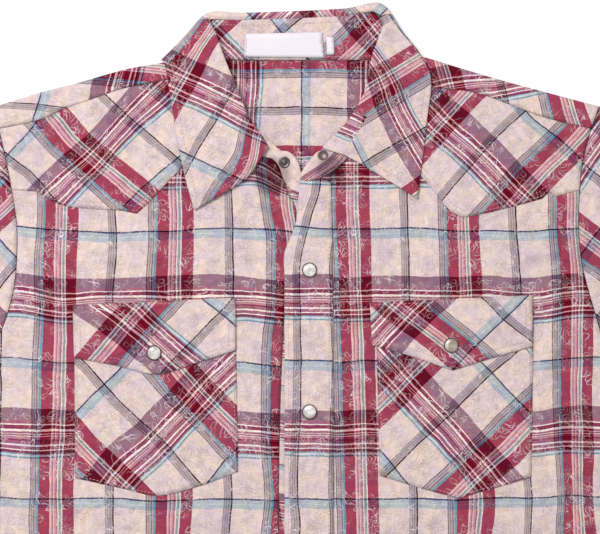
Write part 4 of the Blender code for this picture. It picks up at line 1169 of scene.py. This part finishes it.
class Recipe:
    """One material and its nodes."""

    def __init__(self, name, **constants):
        self.material = bpy.data.materials.new(name)
        self.material.use_nodes = True
        self.tree = self.material.node_tree
        self.shader = self.tree.nodes["Principled BSDF"]
        for socket, value in constants.items():
            self.shader.inputs[socket.replace("_", " ")].default_value = value

    def add(self, kind, settings=None, values=None, out=0):
        node = self.tree.nodes.new("ShaderNode" + kind)
        for name, value in (settings or {}).items():
            setattr(node, name, value)
        for name, value in (values or {}).items():
            self.feed(node.inputs[name], value)
        return Wire(self, node.outputs[out])

    def feed(self, socket, value):
        if isinstance(value, Wire):
            self.tree.links.new(value.socket, socket)
        else:
            socket.default_value = value

    def give(self, socket, value):
        """Feed a socket of the shader itself."""
        self.feed(self.shader.inputs[socket], value)

    def place(self):
        return self.add("TexCoord", out="Object")

    def split(self, vector, kind="SeparateXYZ"):
        """The first two parts of a vector or of a colour."""
        first = self.add(kind, {}, {0: vector})
        return first, first.other(1)

    def vector(self, operation, *values, out=0):
        return self.add("VectorMath", {"operation": operation}, dict(enumerate(values)), out)

    def bump(self, height, strength, distance):
        bump = self.add("Bump", {}, {"Height": height, "Strength": strength, "Distance": distance})
        self.give("Normal", bump)

    def bands(self, share, stops):
        """Stripes: each stop is a place from 0 to 1 and the colour from there on."""
        ramp = self.tree.nodes.new("ShaderNodeValToRGB")
        ramp.color_ramp.interpolation = "CONSTANT"
        elements = ramp.color_ramp.elements
        while len(elements) < len(stops):
            elements.new(0.5)
        for element, (place, _) in zip(elements, stops):
            element.position = place
        for element, (_, colour) in zip(elements, stops):
            element.color = (*colour, 1)
        self.feed(ramp.inputs["Fac"], share)
        return Wire(self, ramp.outputs["Color"])

    def mix(self, blend, factor, *colours):
        first, second = (each if isinstance(each, Wire) else (*each, 1) for each in colours)
        return self.add("Mix", {"data_type": "RGBA", "blend_type": blend, "clamp_factor": True},
                        {0: factor, 6: first, 7: second}, 2)

    def noise(self, where, scale, detail=2.0, stretch=(1, 1, 1), out=0):
        """A noise of scale patches to one unit of where: a metre, or a millimetre of thread."""
        place = self.add("Mapping", {}, {"Vector": where, "Scale": tuple(scale * side for side in stretch)})
        return self.add("TexNoise", {"noise_dimensions": "3D"},
                        {"Vector": place, "Scale": 1.0, "Detail": detail}, out)

    def ridged(self, where, scale, detail):
        """A noise of sharp ridges, for folds."""
        return self.add("TexNoise", {"noise_dimensions": "3D", "noise_type": "RIDGED_MULTIFRACTAL"},
                        {"Vector": where, "Scale": scale, "Detail": detail, "Roughness": 0.4})

    def step(self, low, high, value):
        """0 below low, 1 above high, and a soft rise between."""
        return self.add("MapRange", {"interpolation_type": "SMOOTHSTEP"},
                        {"Value": value, "From Min": low, "From Max": high})

    def dress(self, *objects):
        for each in objects:
            each.data.materials.clear()
            each.data.materials.append(self.material)


# %% [markdown]
# The plaid. It is woven from coloured warp threads that run down the cloth and coloured weft
# threads that run across it, so the colour where two stripes cross comes from both. Each set of
# stripes is one ramp over one repeat. Multiplying the two gives the dark squares where red crosses
# rose, and the warp ramp holds each colour divided by the cream ground, so that cream leaves the
# weft as it is.

# %% The stripes of the check
CREAM = tone(224, 206, 201)
WHITE = tone(244, 232, 226)
PALE = tone(226, 204, 202)
GREY = tone(180, 166, 168)
GREY_DARK = tone(108, 98, 112)
BLUE = tone(118, 156, 172)
SKY = tone(178, 190, 196)
SKY_PALE = tone(196, 206, 210)
INK = tone(70, 74, 108)
RED = tone(160, 66, 89)
PINK = tone(204, 152, 160)
PINK_PALE = tone(226, 190, 190)
PINK_DARK = tone(172, 100, 116)
GREEN = tone(146, 158, 152)
BURGUNDY = tone(62, 8, 36)
MAUVE = tone(149, 114, 131)
ROSE = tone(164, 104, 126)
ROSE_PALE = tone(188, 134, 150)
ROSE_DEEP = tone(140, 60, 90)
# where each stripe starts
WARP_STRIPES = [
    (0, BURGUNDY), (0.9, CREAM), (32.6, GREY_DARK), (33.3, GREY), (35.2, GREY_DARK), (35.8, GREY),
    (37.7, GREY_DARK), (38.3, GREY), (39.9, BLUE), (42.4, RED), (53.8, PINK_PALE), (55.2, PINK),
    (56.5, PINK_DARK), (57.2, PINK_PALE), (58.1, PINK), (60.3, PINK_DARK), (61.4, PALE), (63.1, GREEN),
    (65.3, PALE), (66.5, RED), (78, CREAM), (110, GREY_DARK), (110.6, GREY), (112.5, GREY_DARK),
    (113, GREY), (114.8, GREY_DARK), (115.4, GREY), (117.3, BURGUNDY),
]
WEFT_STRIPES = [
    (0, INK), (1.2, SKY), (5, SKY_PALE), (6, SKY), (10.4, CREAM), (48, MAUVE), (58.6, ROSE), (61.3, WHITE),
    (62.6, ROSE_DEEP), (66.4, WHITE), (68.4, ROSE), (70.2, WHITE), (70.9, ROSE), (72.4, WHITE),
    (73.2, ROSE_PALE), (75.6, ROSE_DEEP), (77.4, ROSE), (80.2, WHITE), (81.7, ROSE),
    (84.8, WHITE), (86.3, ROSE_DEEP),
    (88.5, BLUE), (89.8, SKY_PALE), (91.8, BLUE), (93.4, CREAM),
]
# and how white its threads are
WHITE_WARP = [(0, 0), (53.8, 0.4), (55.2, 0), (57.2, 0.4), (58.1, 0), (61.4, 1), (63.1, 0), (65.3, 1),
              (66.5, 0)]
WHITE_WEFT = [(0, 0), (61.3, 1), (62.6, 0), (66.4, 1), (68.4, 0), (70.2, 1), (70.9, 0), (72.4, 1), (73.2, 0),
              (80.2, 1), (81.7, 0), (84.8, 1), (86.3, 0), (89.8, 0.5), (91.8, 0)]
print("stripes:", len(WARP_STRIPES), "down and", len(WEFT_STRIPES), "across")

# %% [markdown]
# The loom also weaves in a figure: flowers and leaves drawn in thin pale lines. A loose scatter of
# cells holds one of them each, with its petals, veins and strokes worked out round its middle.

# %% Woven flowers
def flower(recipe, threads, size, petals, turned):
    """Outlines of one flower or leaf in each cell of a loose scatter, as a mask."""
    cells = recipe.add("TexVoronoi", {"voronoi_dimensions": "2D", "feature": "F1"},
                       {"Vector": threads, "Scale": 1.0 / size, "Randomness": 0.75}, "Position")
    x, y = recipe.split(recipe.vector("SUBTRACT", threads, cells))
    chance, _ = recipe.split(cells.other("Color"))
    angle = maths("ARCTAN2", y, x) + chance * 6.283 + turned
    reach = maths("SQRT", x * x + y * y) / size
    wave = maths("ABSOLUTE", maths("COSINE", angle * (petals / 2)))
    from_rim = reach - (wave * 0.24 + 0.13 + recipe.noise(threads, 0.25, 1.0) * 0.1)
    inside = recipe.step(0.02, -0.02, from_rim)
    vein = maths("ABSOLUTE", maths("SINE", angle * (petals / 2)))
    stroke = maths("ABSOLUTE", maths("SINE", angle * (petals * 1.5) + reach * 12.0))
    within = maths("MAXIMUM", recipe.step(0.1, 0.03, vein) * inside,
                   recipe.step(0.28, 0.06, stroke) * inside * 0.8)
    return maths("MAXIMUM", recipe.step(0.018, 0.004, maths("ABSOLUTE", from_rim)), within)


def jacquard(recipe, threads):
    swirl = recipe.noise(threads, 0.1, 1.0, out="Color")
    threads = recipe.vector("MULTIPLY_ADD", swirl, (9, 9, 0), threads)
    blossom, leaf = flower(recipe, threads, 24.0, 5, 0.0), flower(recipe, threads, 15.0, 2, 1.1)
    return maths("MAXIMUM", blossom, leaf * 0.8)


# %% [markdown]
# The cotton itself: the check, then clouds of lilac and peach in the ground, threads that vary in
# thickness, and the woven flowers. The clouds, and small blotches over the threads, are partly the
# ground's own mottled tone and partly painted crinkle shade. The relief has three sizes: wide folds,
# a fine crinkle, and tight gathers where the tabs pull the neck seam; in those gathers the colour
# is also darkened as painted shade.

# %% Plaid cotton
GATHERS = [((-20, -93), 19), ((27, -88), 15)]  # where the cloth is gathered under the tabs, and how far
SWAY = 0.022  # of a repeat, that the cloth draws a stripe aside
STRAY_THREAD = 0.006  # the same for a single thread
DARK_CROSSING = (0.42, 0.78)  # how dark both stripes are where they start to deepen, and at their deepest
WHITE_THREADS = 0.3
CLOUD, PEACH, LILAC = tone(242, 241, 253), tone(255, 248, 240), tone(245, 240, 249)
FIGURE = tone(246, 232, 234)


def plaid_cotton():
    recipe = Recipe("plaid_cotton", Roughness=0.82, Sheen_Weight=0.02, Sheen_Roughness=0.5)
    recipe.give("Specular IOR Level", 0.08)
    place = recipe.place()
    counts = recipe.add("UVMap", {"uv_map": "Cloth"})
    threads = recipe.add("Mapping", {}, {"Vector": counts, "Scale": (WARP_REPEAT, WEFT_REPEAT, 1.0)})  # in mm
    sway = recipe.split(recipe.noise(place, 55, 3.0, out="Color"))
    fine = recipe.split(recipe.noise(threads, 0.9, 1.0, out="Color"))
    u, v = (maths("FRACT", count + (wide - 0.5) * SWAY + (thin - 0.5) * STRAY_THREAD)
            for count, wide, thin in zip(recipe.split(counts), sway, fine))

    # two sets of stripes: deepest where both are dark, with the white threads on top
    warp = recipe.bands(u, [(at / WARP_COUNT, colour / CREAM) for at, colour in WARP_STRIPES])
    weft = recipe.bands(v, [(at / WEFT_COUNT, colour) for at, colour in WEFT_STRIPES])
    colour = recipe.mix("MULTIPLY", 1.0, weft, warp)
    warp_green, weft_green = (recipe.split(each, "SeparateColor")[1] for each in (warp, weft))
    both = recipe.step(*DARK_CROSSING, (1 - warp_green) * (1 - weft_green))
    colour = recipe.mix("MULTIPLY", both, colour, (0.88, 0.1, 0.42))
    for share, stripes, parts in ((v, WHITE_WEFT, WEFT_COUNT), (u, WHITE_WARP, WARP_COUNT)):
        white = recipe.bands(share, [(at / parts, (on, on, on)) for at, on in stripes])
        colour = recipe.mix("MIX", white * WHITE_THREADS, colour, WHITE)

    # clouds of lilac and peach (partly painted crinkle shade), threads of varying thickness both ways with
    # small blotches of painted crinkle shade, and a jacquard of flowers and leaves
    # partly painted shade: the lilac clouds and the peach and lilac patches are the ground's mottled tone and
    # also stand in for the cool shading of the crinkle
    cloud = recipe.step(0.48, 0.66, recipe.noise(place, 26, 3.0))
    colour = recipe.mix("MULTIPLY", cloud * 0.6, colour, CLOUD)
    patch = recipe.step(0.4, 0.6, recipe.noise(place, 105, 4.0))
    colour = recipe.mix("MULTIPLY", 1.0, colour, recipe.mix("MIX", patch, PEACH, LILAC))
    slubs = (recipe.noise(threads, 1.0, 2.0, stretch=(1.3, 0.10, 1))
             + recipe.noise(threads, 1.0, 2.0, stretch=(0.10, 1.3, 1)))
    # painted shade: blotches about 5 mm across darken and lighten the colour like the crinkle's shading, over
    # the slubs of the threads and fine flecks
    slubs_and_crinkle_shade = slubs * 0.34 + recipe.noise(place, 190, 4.0) * 0.5 + recipe.noise(place, 620, 1.0) * 0.14 + 0.34
    grey = recipe.add("CombineXYZ", {}, {0: slubs_and_crinkle_shade, 1: slubs_and_crinkle_shade, 2: slubs_and_crinkle_shade})
    colour = recipe.mix("MULTIPLY", 1.0, colour, grey)
    figure = jacquard(recipe, threads)
    shown = recipe.step(0.38, 0.54, recipe.noise(place, 60, 2.0))
    colour = recipe.mix("MIX", figure * shown * (0.7 - both * 0.35), colour, FIGURE)
    gathered = 0.0
    for spot, reach in GATHERS:
        centre = tuple((np.array([*spot, 4.0]) + ORIGIN) * MM)
        away = recipe.vector("DISTANCE", place, centre, out="Value")
        gathered = recipe.step(reach * MM, reach * 0.55 * MM, away) + gathered
    gathers = recipe.ridged(place, 170.0, 1.0)
    # painted shade: the colour is darkened in the creases of the tight gathers under the tabs
    shade = recipe.step(0.9, 0.35, gathers) * gathered
    recipe.give("Base Color", recipe.mix("MULTIPLY", shade * 0.55, colour, (0.12, 0.08, 0.12)))

    # the crinkle of washed cotton, the raised jacquard and the weave
    wide_folds, crinkled = recipe.ridged(place, 42.0, 2.0), recipe.noise(place, 80, 3.0)
    raised = wide_folds * 0.35 + crinkled * 1.2 + figure * 0.25 + slubs * 0.2 + gathered * gathers * 0.9
    recipe.bump(raised, 0.7, 0.002)
    return recipe


plaid = plaid_cotton()
plaid.dress(*[piece for node, piece in pieces.items() if node not in ("label", "size_tab")])
print("nodes in the plaid:", len(plaid.tree.nodes))

# %% [markdown]
# Stitches. Every sewn edge shows a row of small stitches, which also tell the eye how big the
# shirt is. One stitch is a grain of ten points, longer than it is wide and sunk halfway into the
# cloth. Each row is worked out along an edge, moved inwards, and all rows of one piece are one mesh.

# %% Rows of stitches
STITCH_PITCH = 3.0
STITCH_LENGTH = 2.3
STITCH_WIDTH = 0.5
STITCH_HEIGHT = 0.35
STITCH_SHOULDER = 0.28  # share of its length from the middle to where it is widest
GRAIN_RING = [(1, 0), (0, 1), (-1, 0), (0, -1)]  # across and up, at both shoulders of a stitch
ABOVE = 0.05  # from the cloth up to the middle of a stitch


def reach_along(line):
    """How far along a line each of its points lies."""
    return np.concatenate([[0], np.cumsum(np.linalg.norm(np.diff(line, axis=0), axis=1))])


def at_reach(line, reach, at):
    """The points at some distances along a line."""
    return np.column_stack([np.interp(at, reach, values) for values in line.T])


def spaced(line, pitch):
    """Points at an even pitch along a line in space, and the way it runs there."""
    line = np.asarray(line, float)
    line = line[np.diff(reach_along(line), prepend=-1) > 1e-6]
    reach = reach_along(line)
    count = max(2, int(reach[-1] / pitch))
    at = (np.arange(count) + 0.5) * reach[-1] / count
    return at_reach(line, reach, at), unit(at_reach(line, reach, at + 0.5) - at_reach(line, reach, at - 0.5))


def stitched(node, lines):
    """All rows of stitches on one piece."""
    points, faces = [], []
    for line in lines:
        for spot, run in zip(*spaced(line, STITCH_PITCH)):
            side = unit(np.cross(run, (0, 0, 1)))
            up = np.cross(side, run)
            first = len(points)
            points.append(spot - run * STITCH_LENGTH / 2)
            for along_it in (-STITCH_SHOULDER, STITCH_SHOULDER):
                for across, above in GRAIN_RING:
                    points.append(spot + run * STITCH_LENGTH * along_it + side * across * STITCH_WIDTH / 2
                                  + up * above * STITCH_HEIGHT)
            points.append(spot + run * STITCH_LENGTH / 2)
            for index in range(4):
                after = (index + 1) % 4
                faces.append((first, first + 1 + after, first + 1 + index))
                faces.append((first + 1 + index, first + 1 + after, first + 5 + after, first + 5 + index))
                faces.append((first + 9, first + 5 + index, first + 5 + after))
    made = mesh_object(f"{node}_stitches", points, faces)
    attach(made, ROOT_BODY)
    stitch_rows.append(made)
    print(node, "stitches:", len(points) // 10)


def inside_edge(node, start, end, distance):
    """A line on a panel beside part of its outline, from one point of the outline to another."""
    outline, surface = PANELS[node]
    first, last = (int(np.argmin(np.linalg.norm(outline - spot, axis=1))) for spot in (start, end))
    line = outline[np.arange(first, last + 1 + len(outline) * (last <= first)) % len(outline)]
    moved, inner = beside(line, distance), beside(line, -distance)
    middle = len(line) // 2
    if clearance(outline, moved[middle][None])[0] < clearance(outline, inner[middle][None])[0]:
        moved = inner
    return on_surface(moved[clearance(outline, moved) > distance * 0.8], surface)


def inside_grid(grid, distance):
    """A line on a grid of points, at a distance from the end of each of its rows."""
    backwards = [row[::-1] for row in grid]
    return np.concatenate([at_reach(row, reach_along(row), distance) for row in backwards]) + (0, 0, ABOVE)


def on_surface(line, surface):
    """A line drawn on a height."""
    x, y = np.array(line, float).T
    return np.column_stack([x, y, surface(x, y) + ABOVE])


def from_corner(grid, distance):
    """How many rows of a grid lie within a distance of its first row, at their ends."""
    return int(np.searchsorted(reach_along(grid[:, -1])[1:], distance)) + 1


# %% [markdown]
# The rows themselves: round the pockets, flaps, yokes and the collar, along the shoulders, the
# placket, the stand, the cuffs and the hems, and at both ends of the label.

# %% Sew each piece
EDGE = 2.0  # from an edge to its stitches
WIDE_EDGE = 5.5
HEM_EDGE = 9.0
SHOULDER_EDGE = 1.8
LABEL_EDGE = 1.2
FIRST_STITCH = {"placket": -112.0, "placket_edge": -176.0}
LINE_STEP = 4.0
TIP_ROWS = 40  # the rows of the leaf that its straight end runs across
stitch_rows = []
for side, sign in SIGN.items():
    pocket, flap, yoke = f"pocket_{side}", f"flap_{side}", f"front_yoke_{side}"
    stitched(pocket, [inside_edge(pocket, POCKET[side][1], POCKET[side][0], EDGE)])
    stitched(flap, [inside_edge(flap, FLAP[side][1], FLAP[side][0], WIDE_EDGE),
                    inside_edge(flap, FLAP[side][0], FLAP[side][1], EDGE)])
    ends = (YOKE_EDGE[side][1], YOKE_EDGE[side][-2])[::-sign]
    stitched(yoke, [inside_edge(yoke, *ends, distance) for distance in (EDGE, WIDE_EDGE)])
    hem_line = beside(smooth(hem(side, FRONT_TAIL)[:-1], 12), -HEM_EDGE * sign)
    stitched(f"front_{side}", [on_surface(hem_line, PANELS[f"front_{side}"][1])])
    shoulder = beside(smooth(FRONT_SEAM[side][:-1], 10), -SHOULDER_EDGE * sign)
    stitched(f"shoulder_{side}", [on_surface(shoulder, lambda x, y: top(x, y) + relief(x, y))])
    over = GRIDS[f"cuff_{side}"][3:-3, 4 * AROUND_PARTS:14 * AROUND_PARTS]  # its top face
    stitched(f"cuff_{side}", [over[0], over[-1]])
for name, x in (("placket_edge", PLACKET_X[0] + 3), ("placket", PLACKET_X[1] - EDGE)):
    line = [(x, y) for y in np.arange(FIRST_STITCH[name], FRONT_END + LINE_STEP, -LINE_STEP)]
    stitched(name, [on_surface(line, PANELS["placket"][1])])
leaf, on_front = GRIDS["collar"], (len(LEAF) - 1) * LEAF_PARTS + 1
leaf_rows = []
for grid in (leaf[:on_front], leaf[::-1][:on_front]):
    leaf_rows.append(inside_grid(grid[from_corner(grid, WIDE_EDGE):], WIDE_EDGE))
    ends = inside_grid(grid[:TIP_ROWS].transpose(1, 0, 2)[:, ::-1], WIDE_EDGE)
    leaf_rows.append(ends[4 * SECTION_PARTS:-from_corner(grid.transpose(1, 0, 2)[::-1], WIDE_EDGE)])
stitched("collar", leaf_rows)
stand = GRIDS["collar_stand"][2:-2] + (0, 0, 2 * ABOVE)
stitched("collar_stand", [stand[:, 1], stand[:, -3]])
stitched("label", [inside_edge("label", *end, LABEL_EDGE) for end in (LABEL[1:3], (LABEL[3], LABEL[0]))])


# %% [markdown]
# The snaps. A pearl snap is a domed cap held in a thin metal rim that grips the cloth. Both are
# modelled once, from a disc drawn up ring by ring, and then copied to each snap's place, each
# copy with its own mesh. The tabs of the stand show the other halves: a dark stud and a grey cup.

# %% Turn a disc into a cap
SNAP_SIDES = 40


def cap(name, rings):
    """A round piece, drawn up ring by ring from its foot: each ring is a radius and a height."""
    bpy.ops.object.select_all(action="DESELECT")
    radius, height = rings[0]
    bpy.ops.mesh.primitive_circle_add(vertices=SNAP_SIDES, radius=radius * MM, fill_type="NGON",
                                      location=(0, 0, height * MM))
    made = bpy.context.active_object
    made.name = name
    bpy.ops.object.mode_set(mode="EDIT")
    bpy.ops.mesh.select_all(action="SELECT")
    for (before, low), (after, high) in zip(rings, rings[1:]):
        bpy.ops.mesh.extrude_region_move(TRANSFORM_OT_translate={"value": (0, 0, (high - low) * MM)})
        bpy.ops.transform.resize(value=(after / before, after / before, 1))
    bpy.ops.mesh.select_all(action="SELECT")
    bpy.ops.mesh.normals_make_consistent(inside=False)
    bpy.ops.object.mode_set(mode="OBJECT")
    bpy.ops.object.transform_apply(location=True, rotation=True, scale=True)
    bpy.ops.object.shade_smooth_by_angle(angle=math.radians(50))
    return made


RINGS = {
    "pearl": [(4.9, 0.6), (5.25, 1.2), (5.15, 1.7), (4.7, 2.15), (3.9, 2.5), (2.8, 2.75), (1.5, 2.88),
              (0.4, 2.9)],
    "rim": [(5.5, 0.0), (5.95, 0.3), (6.0, 0.9), (5.8, 1.5), (5.4, 1.75), (5.15, 1.65), (5.1, 1.2),
            (4.9, 1.0)],
    "stud": [(4.4, 0.0), (4.6, 0.3), (4.5, 0.8), (4.1, 1.15), (3.5, 1.25), (3.0, 0.95), (2.5, 0.75),
             (2.0, 0.85), (1.75, 1.2), (1.8, 1.6), (1.55, 1.9), (0.9, 2.0), (0.3, 2.0)],
    "cup": [(4.0, 0.0), (4.2, 0.4), (4.15, 0.9), (3.8, 1.25), (3.4, 1.38), (2.95, 1.3), (2.6, 0.9),
            (2.3, 0.62), (1.2, 0.55), (0.3, 0.5)],
}
masters = {name: cap(name, rings) for name, rings in RINGS.items()}


def seat(master, node, name, tilt=0.0):
    """A copy of a master, seated where its node stands."""
    low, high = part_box(node)
    made = placed(name, masters[master].data.copy())
    middle = (low + high) / 2
    made.data.transform(Matrix.Translation((middle.x, middle.y, low.z)) @ Matrix.Rotation(tilt, 4, "X"))
    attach(made, ROOT_BODY)
    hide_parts(node)
    return made


STUD_TILT = math.radians(3.5)
caps = [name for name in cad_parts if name.startswith("snap_") and "stand" not in name]
pearls = [seat("pearl", name, name.replace("snap", "pearl")) for name in caps]
metal = [seat("rim", name, name.replace("snap", "rim")) for name in caps]
metal.append(seat("stud", "snap_stand_stud", "stud", STUD_TILT))
cup = seat("cup", "snap_stand_back", "cup")
for master in masters.values():
    bpy.data.objects.remove(master)
print("snaps:", len(pearls), "pearl caps")

# %% [markdown]
# The hard finishes are small and glossy. Pearl is a pale ground with soft clouds of warm and cool
# light under a clear coat. The metal is dark nickel with fine scratches, and the cup is a duller
# grey. The neck label is white satin: bare, with the sheen of its long floats.

# %% Pearl, metal, label and thread
def pearl_finish(name, dark, bright):
    recipe = Recipe(name, Coat_Weight=0.5)
    cloud = recipe.noise(recipe.place(), 160, 2.0)
    recipe.give("Base Color", recipe.mix("MIX", recipe.step(0.35, 0.65, cloud), dark, bright))
    recipe.give("Roughness", cloud * 0.2 + 0.12)
    return recipe


def metal_finish(name, dark, bright):
    recipe = Recipe(name, Metallic=0.85)
    scratch = recipe.noise(recipe.place(), 900, 2.0, stretch=(1, 6, 1))
    recipe.give("Base Color", recipe.mix("MIX", scratch, dark, bright))
    recipe.give("Roughness", scratch * 0.25 + 0.22)
    recipe.bump(scratch, 0.3, 0.0002)
    return recipe


def satin_finish():
    recipe = Recipe("label_satin", Roughness=0.5)
    place = recipe.place()
    floats, cloud = recipe.noise(place, 500, 2.0, stretch=(1, 9, 1)), recipe.noise(place, 40, 2.0)
    colour = recipe.mix("MIX", floats * 0.5 + cloud * 0.5, tone(216, 206, 218), tone(244, 240, 244))
    recipe.give("Base Color", colour)
    recipe.bump(floats + cloud, 0.4, 0.0005)
    return recipe


def thread_finish():
    recipe = Recipe("thread", Roughness=0.7)
    twist = recipe.noise(recipe.place(), 700, 1.0)
    recipe.give("Base Color", recipe.mix("MIX", twist, tone(184, 150, 152), tone(216, 190, 188)))
    return recipe


pearl_finish("pearl", tone(190, 182, 178), tone(238, 234, 230)).dress(*pearls)
# one cap, on the right flap, gets a darker and warmer copy of the pearl finish
darker_caps = [each for each in pearls if each.name == "pearl_flap_right"]
pearl_finish("darker_pearl", tone(150, 132, 116), tone(204, 192, 178)).dress(*darker_caps)
metal_finish("dark_nickel", tone(52, 50, 52), tone(128, 122, 118)).dress(*metal)
metal_finish("grey_nickel", tone(96, 80, 82), tone(152, 130, 130)).dress(cup)
satin_finish().dress(pieces["label"], pieces["size_tab"])
thread_finish().dress(*stitch_rows)
print("finishes:", [material.name for material in bpy.data.materials])

# %% [markdown]
# The shirt lies on a white floor in soft, even light, with one large lamp from the upper left. The
# camera looks straight down at the chest and the collar.

# %% Floor
BELOW = 0.0005  # m, how far the floor is under the shirt
bpy.ops.object.select_all(action="DESELECT")
bpy.ops.mesh.primitive_plane_add(size=12, location=(0, 0, -BELOW))
floor = bpy.context.active_object
floor.name = "floor"
bpy.ops.object.transform_apply(location=True, rotation=True, scale=True)
paper = Recipe("floor", Roughness=0.9)
paper.give("Base Color", (0.97, 0.97, 0.975, 1))
paper.dress(floor)

# %% Camera
VIEW = (2.4, -165.6)  # the point under the middle of the view
VIEW_WIDTH = 480.0
CAMERA_HEIGHT = 2.5
camera = bpy.data.cameras.new("camera")
camera.sensor_width = 36.0
camera.lens = camera.sensor_width * CAMERA_HEIGHT / (VIEW_WIDTH * MM)
viewer = placed("camera", camera)
viewer.location = ((VIEW[0] + ORIGIN[0]) * MM, (VIEW[1] + ORIGIN[1]) * MM, CAMERA_HEIGHT)
bpy.context.scene.camera = viewer
print("lens, mm:", round(camera.lens, 1))

# %% Light
world = bpy.data.worlds.new("studio")
world.use_nodes = True
sky = world.node_tree.nodes["Background"].inputs
sky["Color"].default_value = (1, 1, 1, 1)
sky["Strength"].default_value = 0.52
bpy.context.scene.world = world
bpy.context.scene.view_settings.view_transform = "Standard"

key = bpy.data.lights.new("key", "AREA")
key.energy = 37
key.size = 0.9
lamp = placed("key", key)
lamp.location = (-0.75, 1.0, 1.9)
lamp.rotation_euler = (Vector((0, 0.1, 0)) - lamp.location).to_track_quat("-Z", "Y").to_euler()
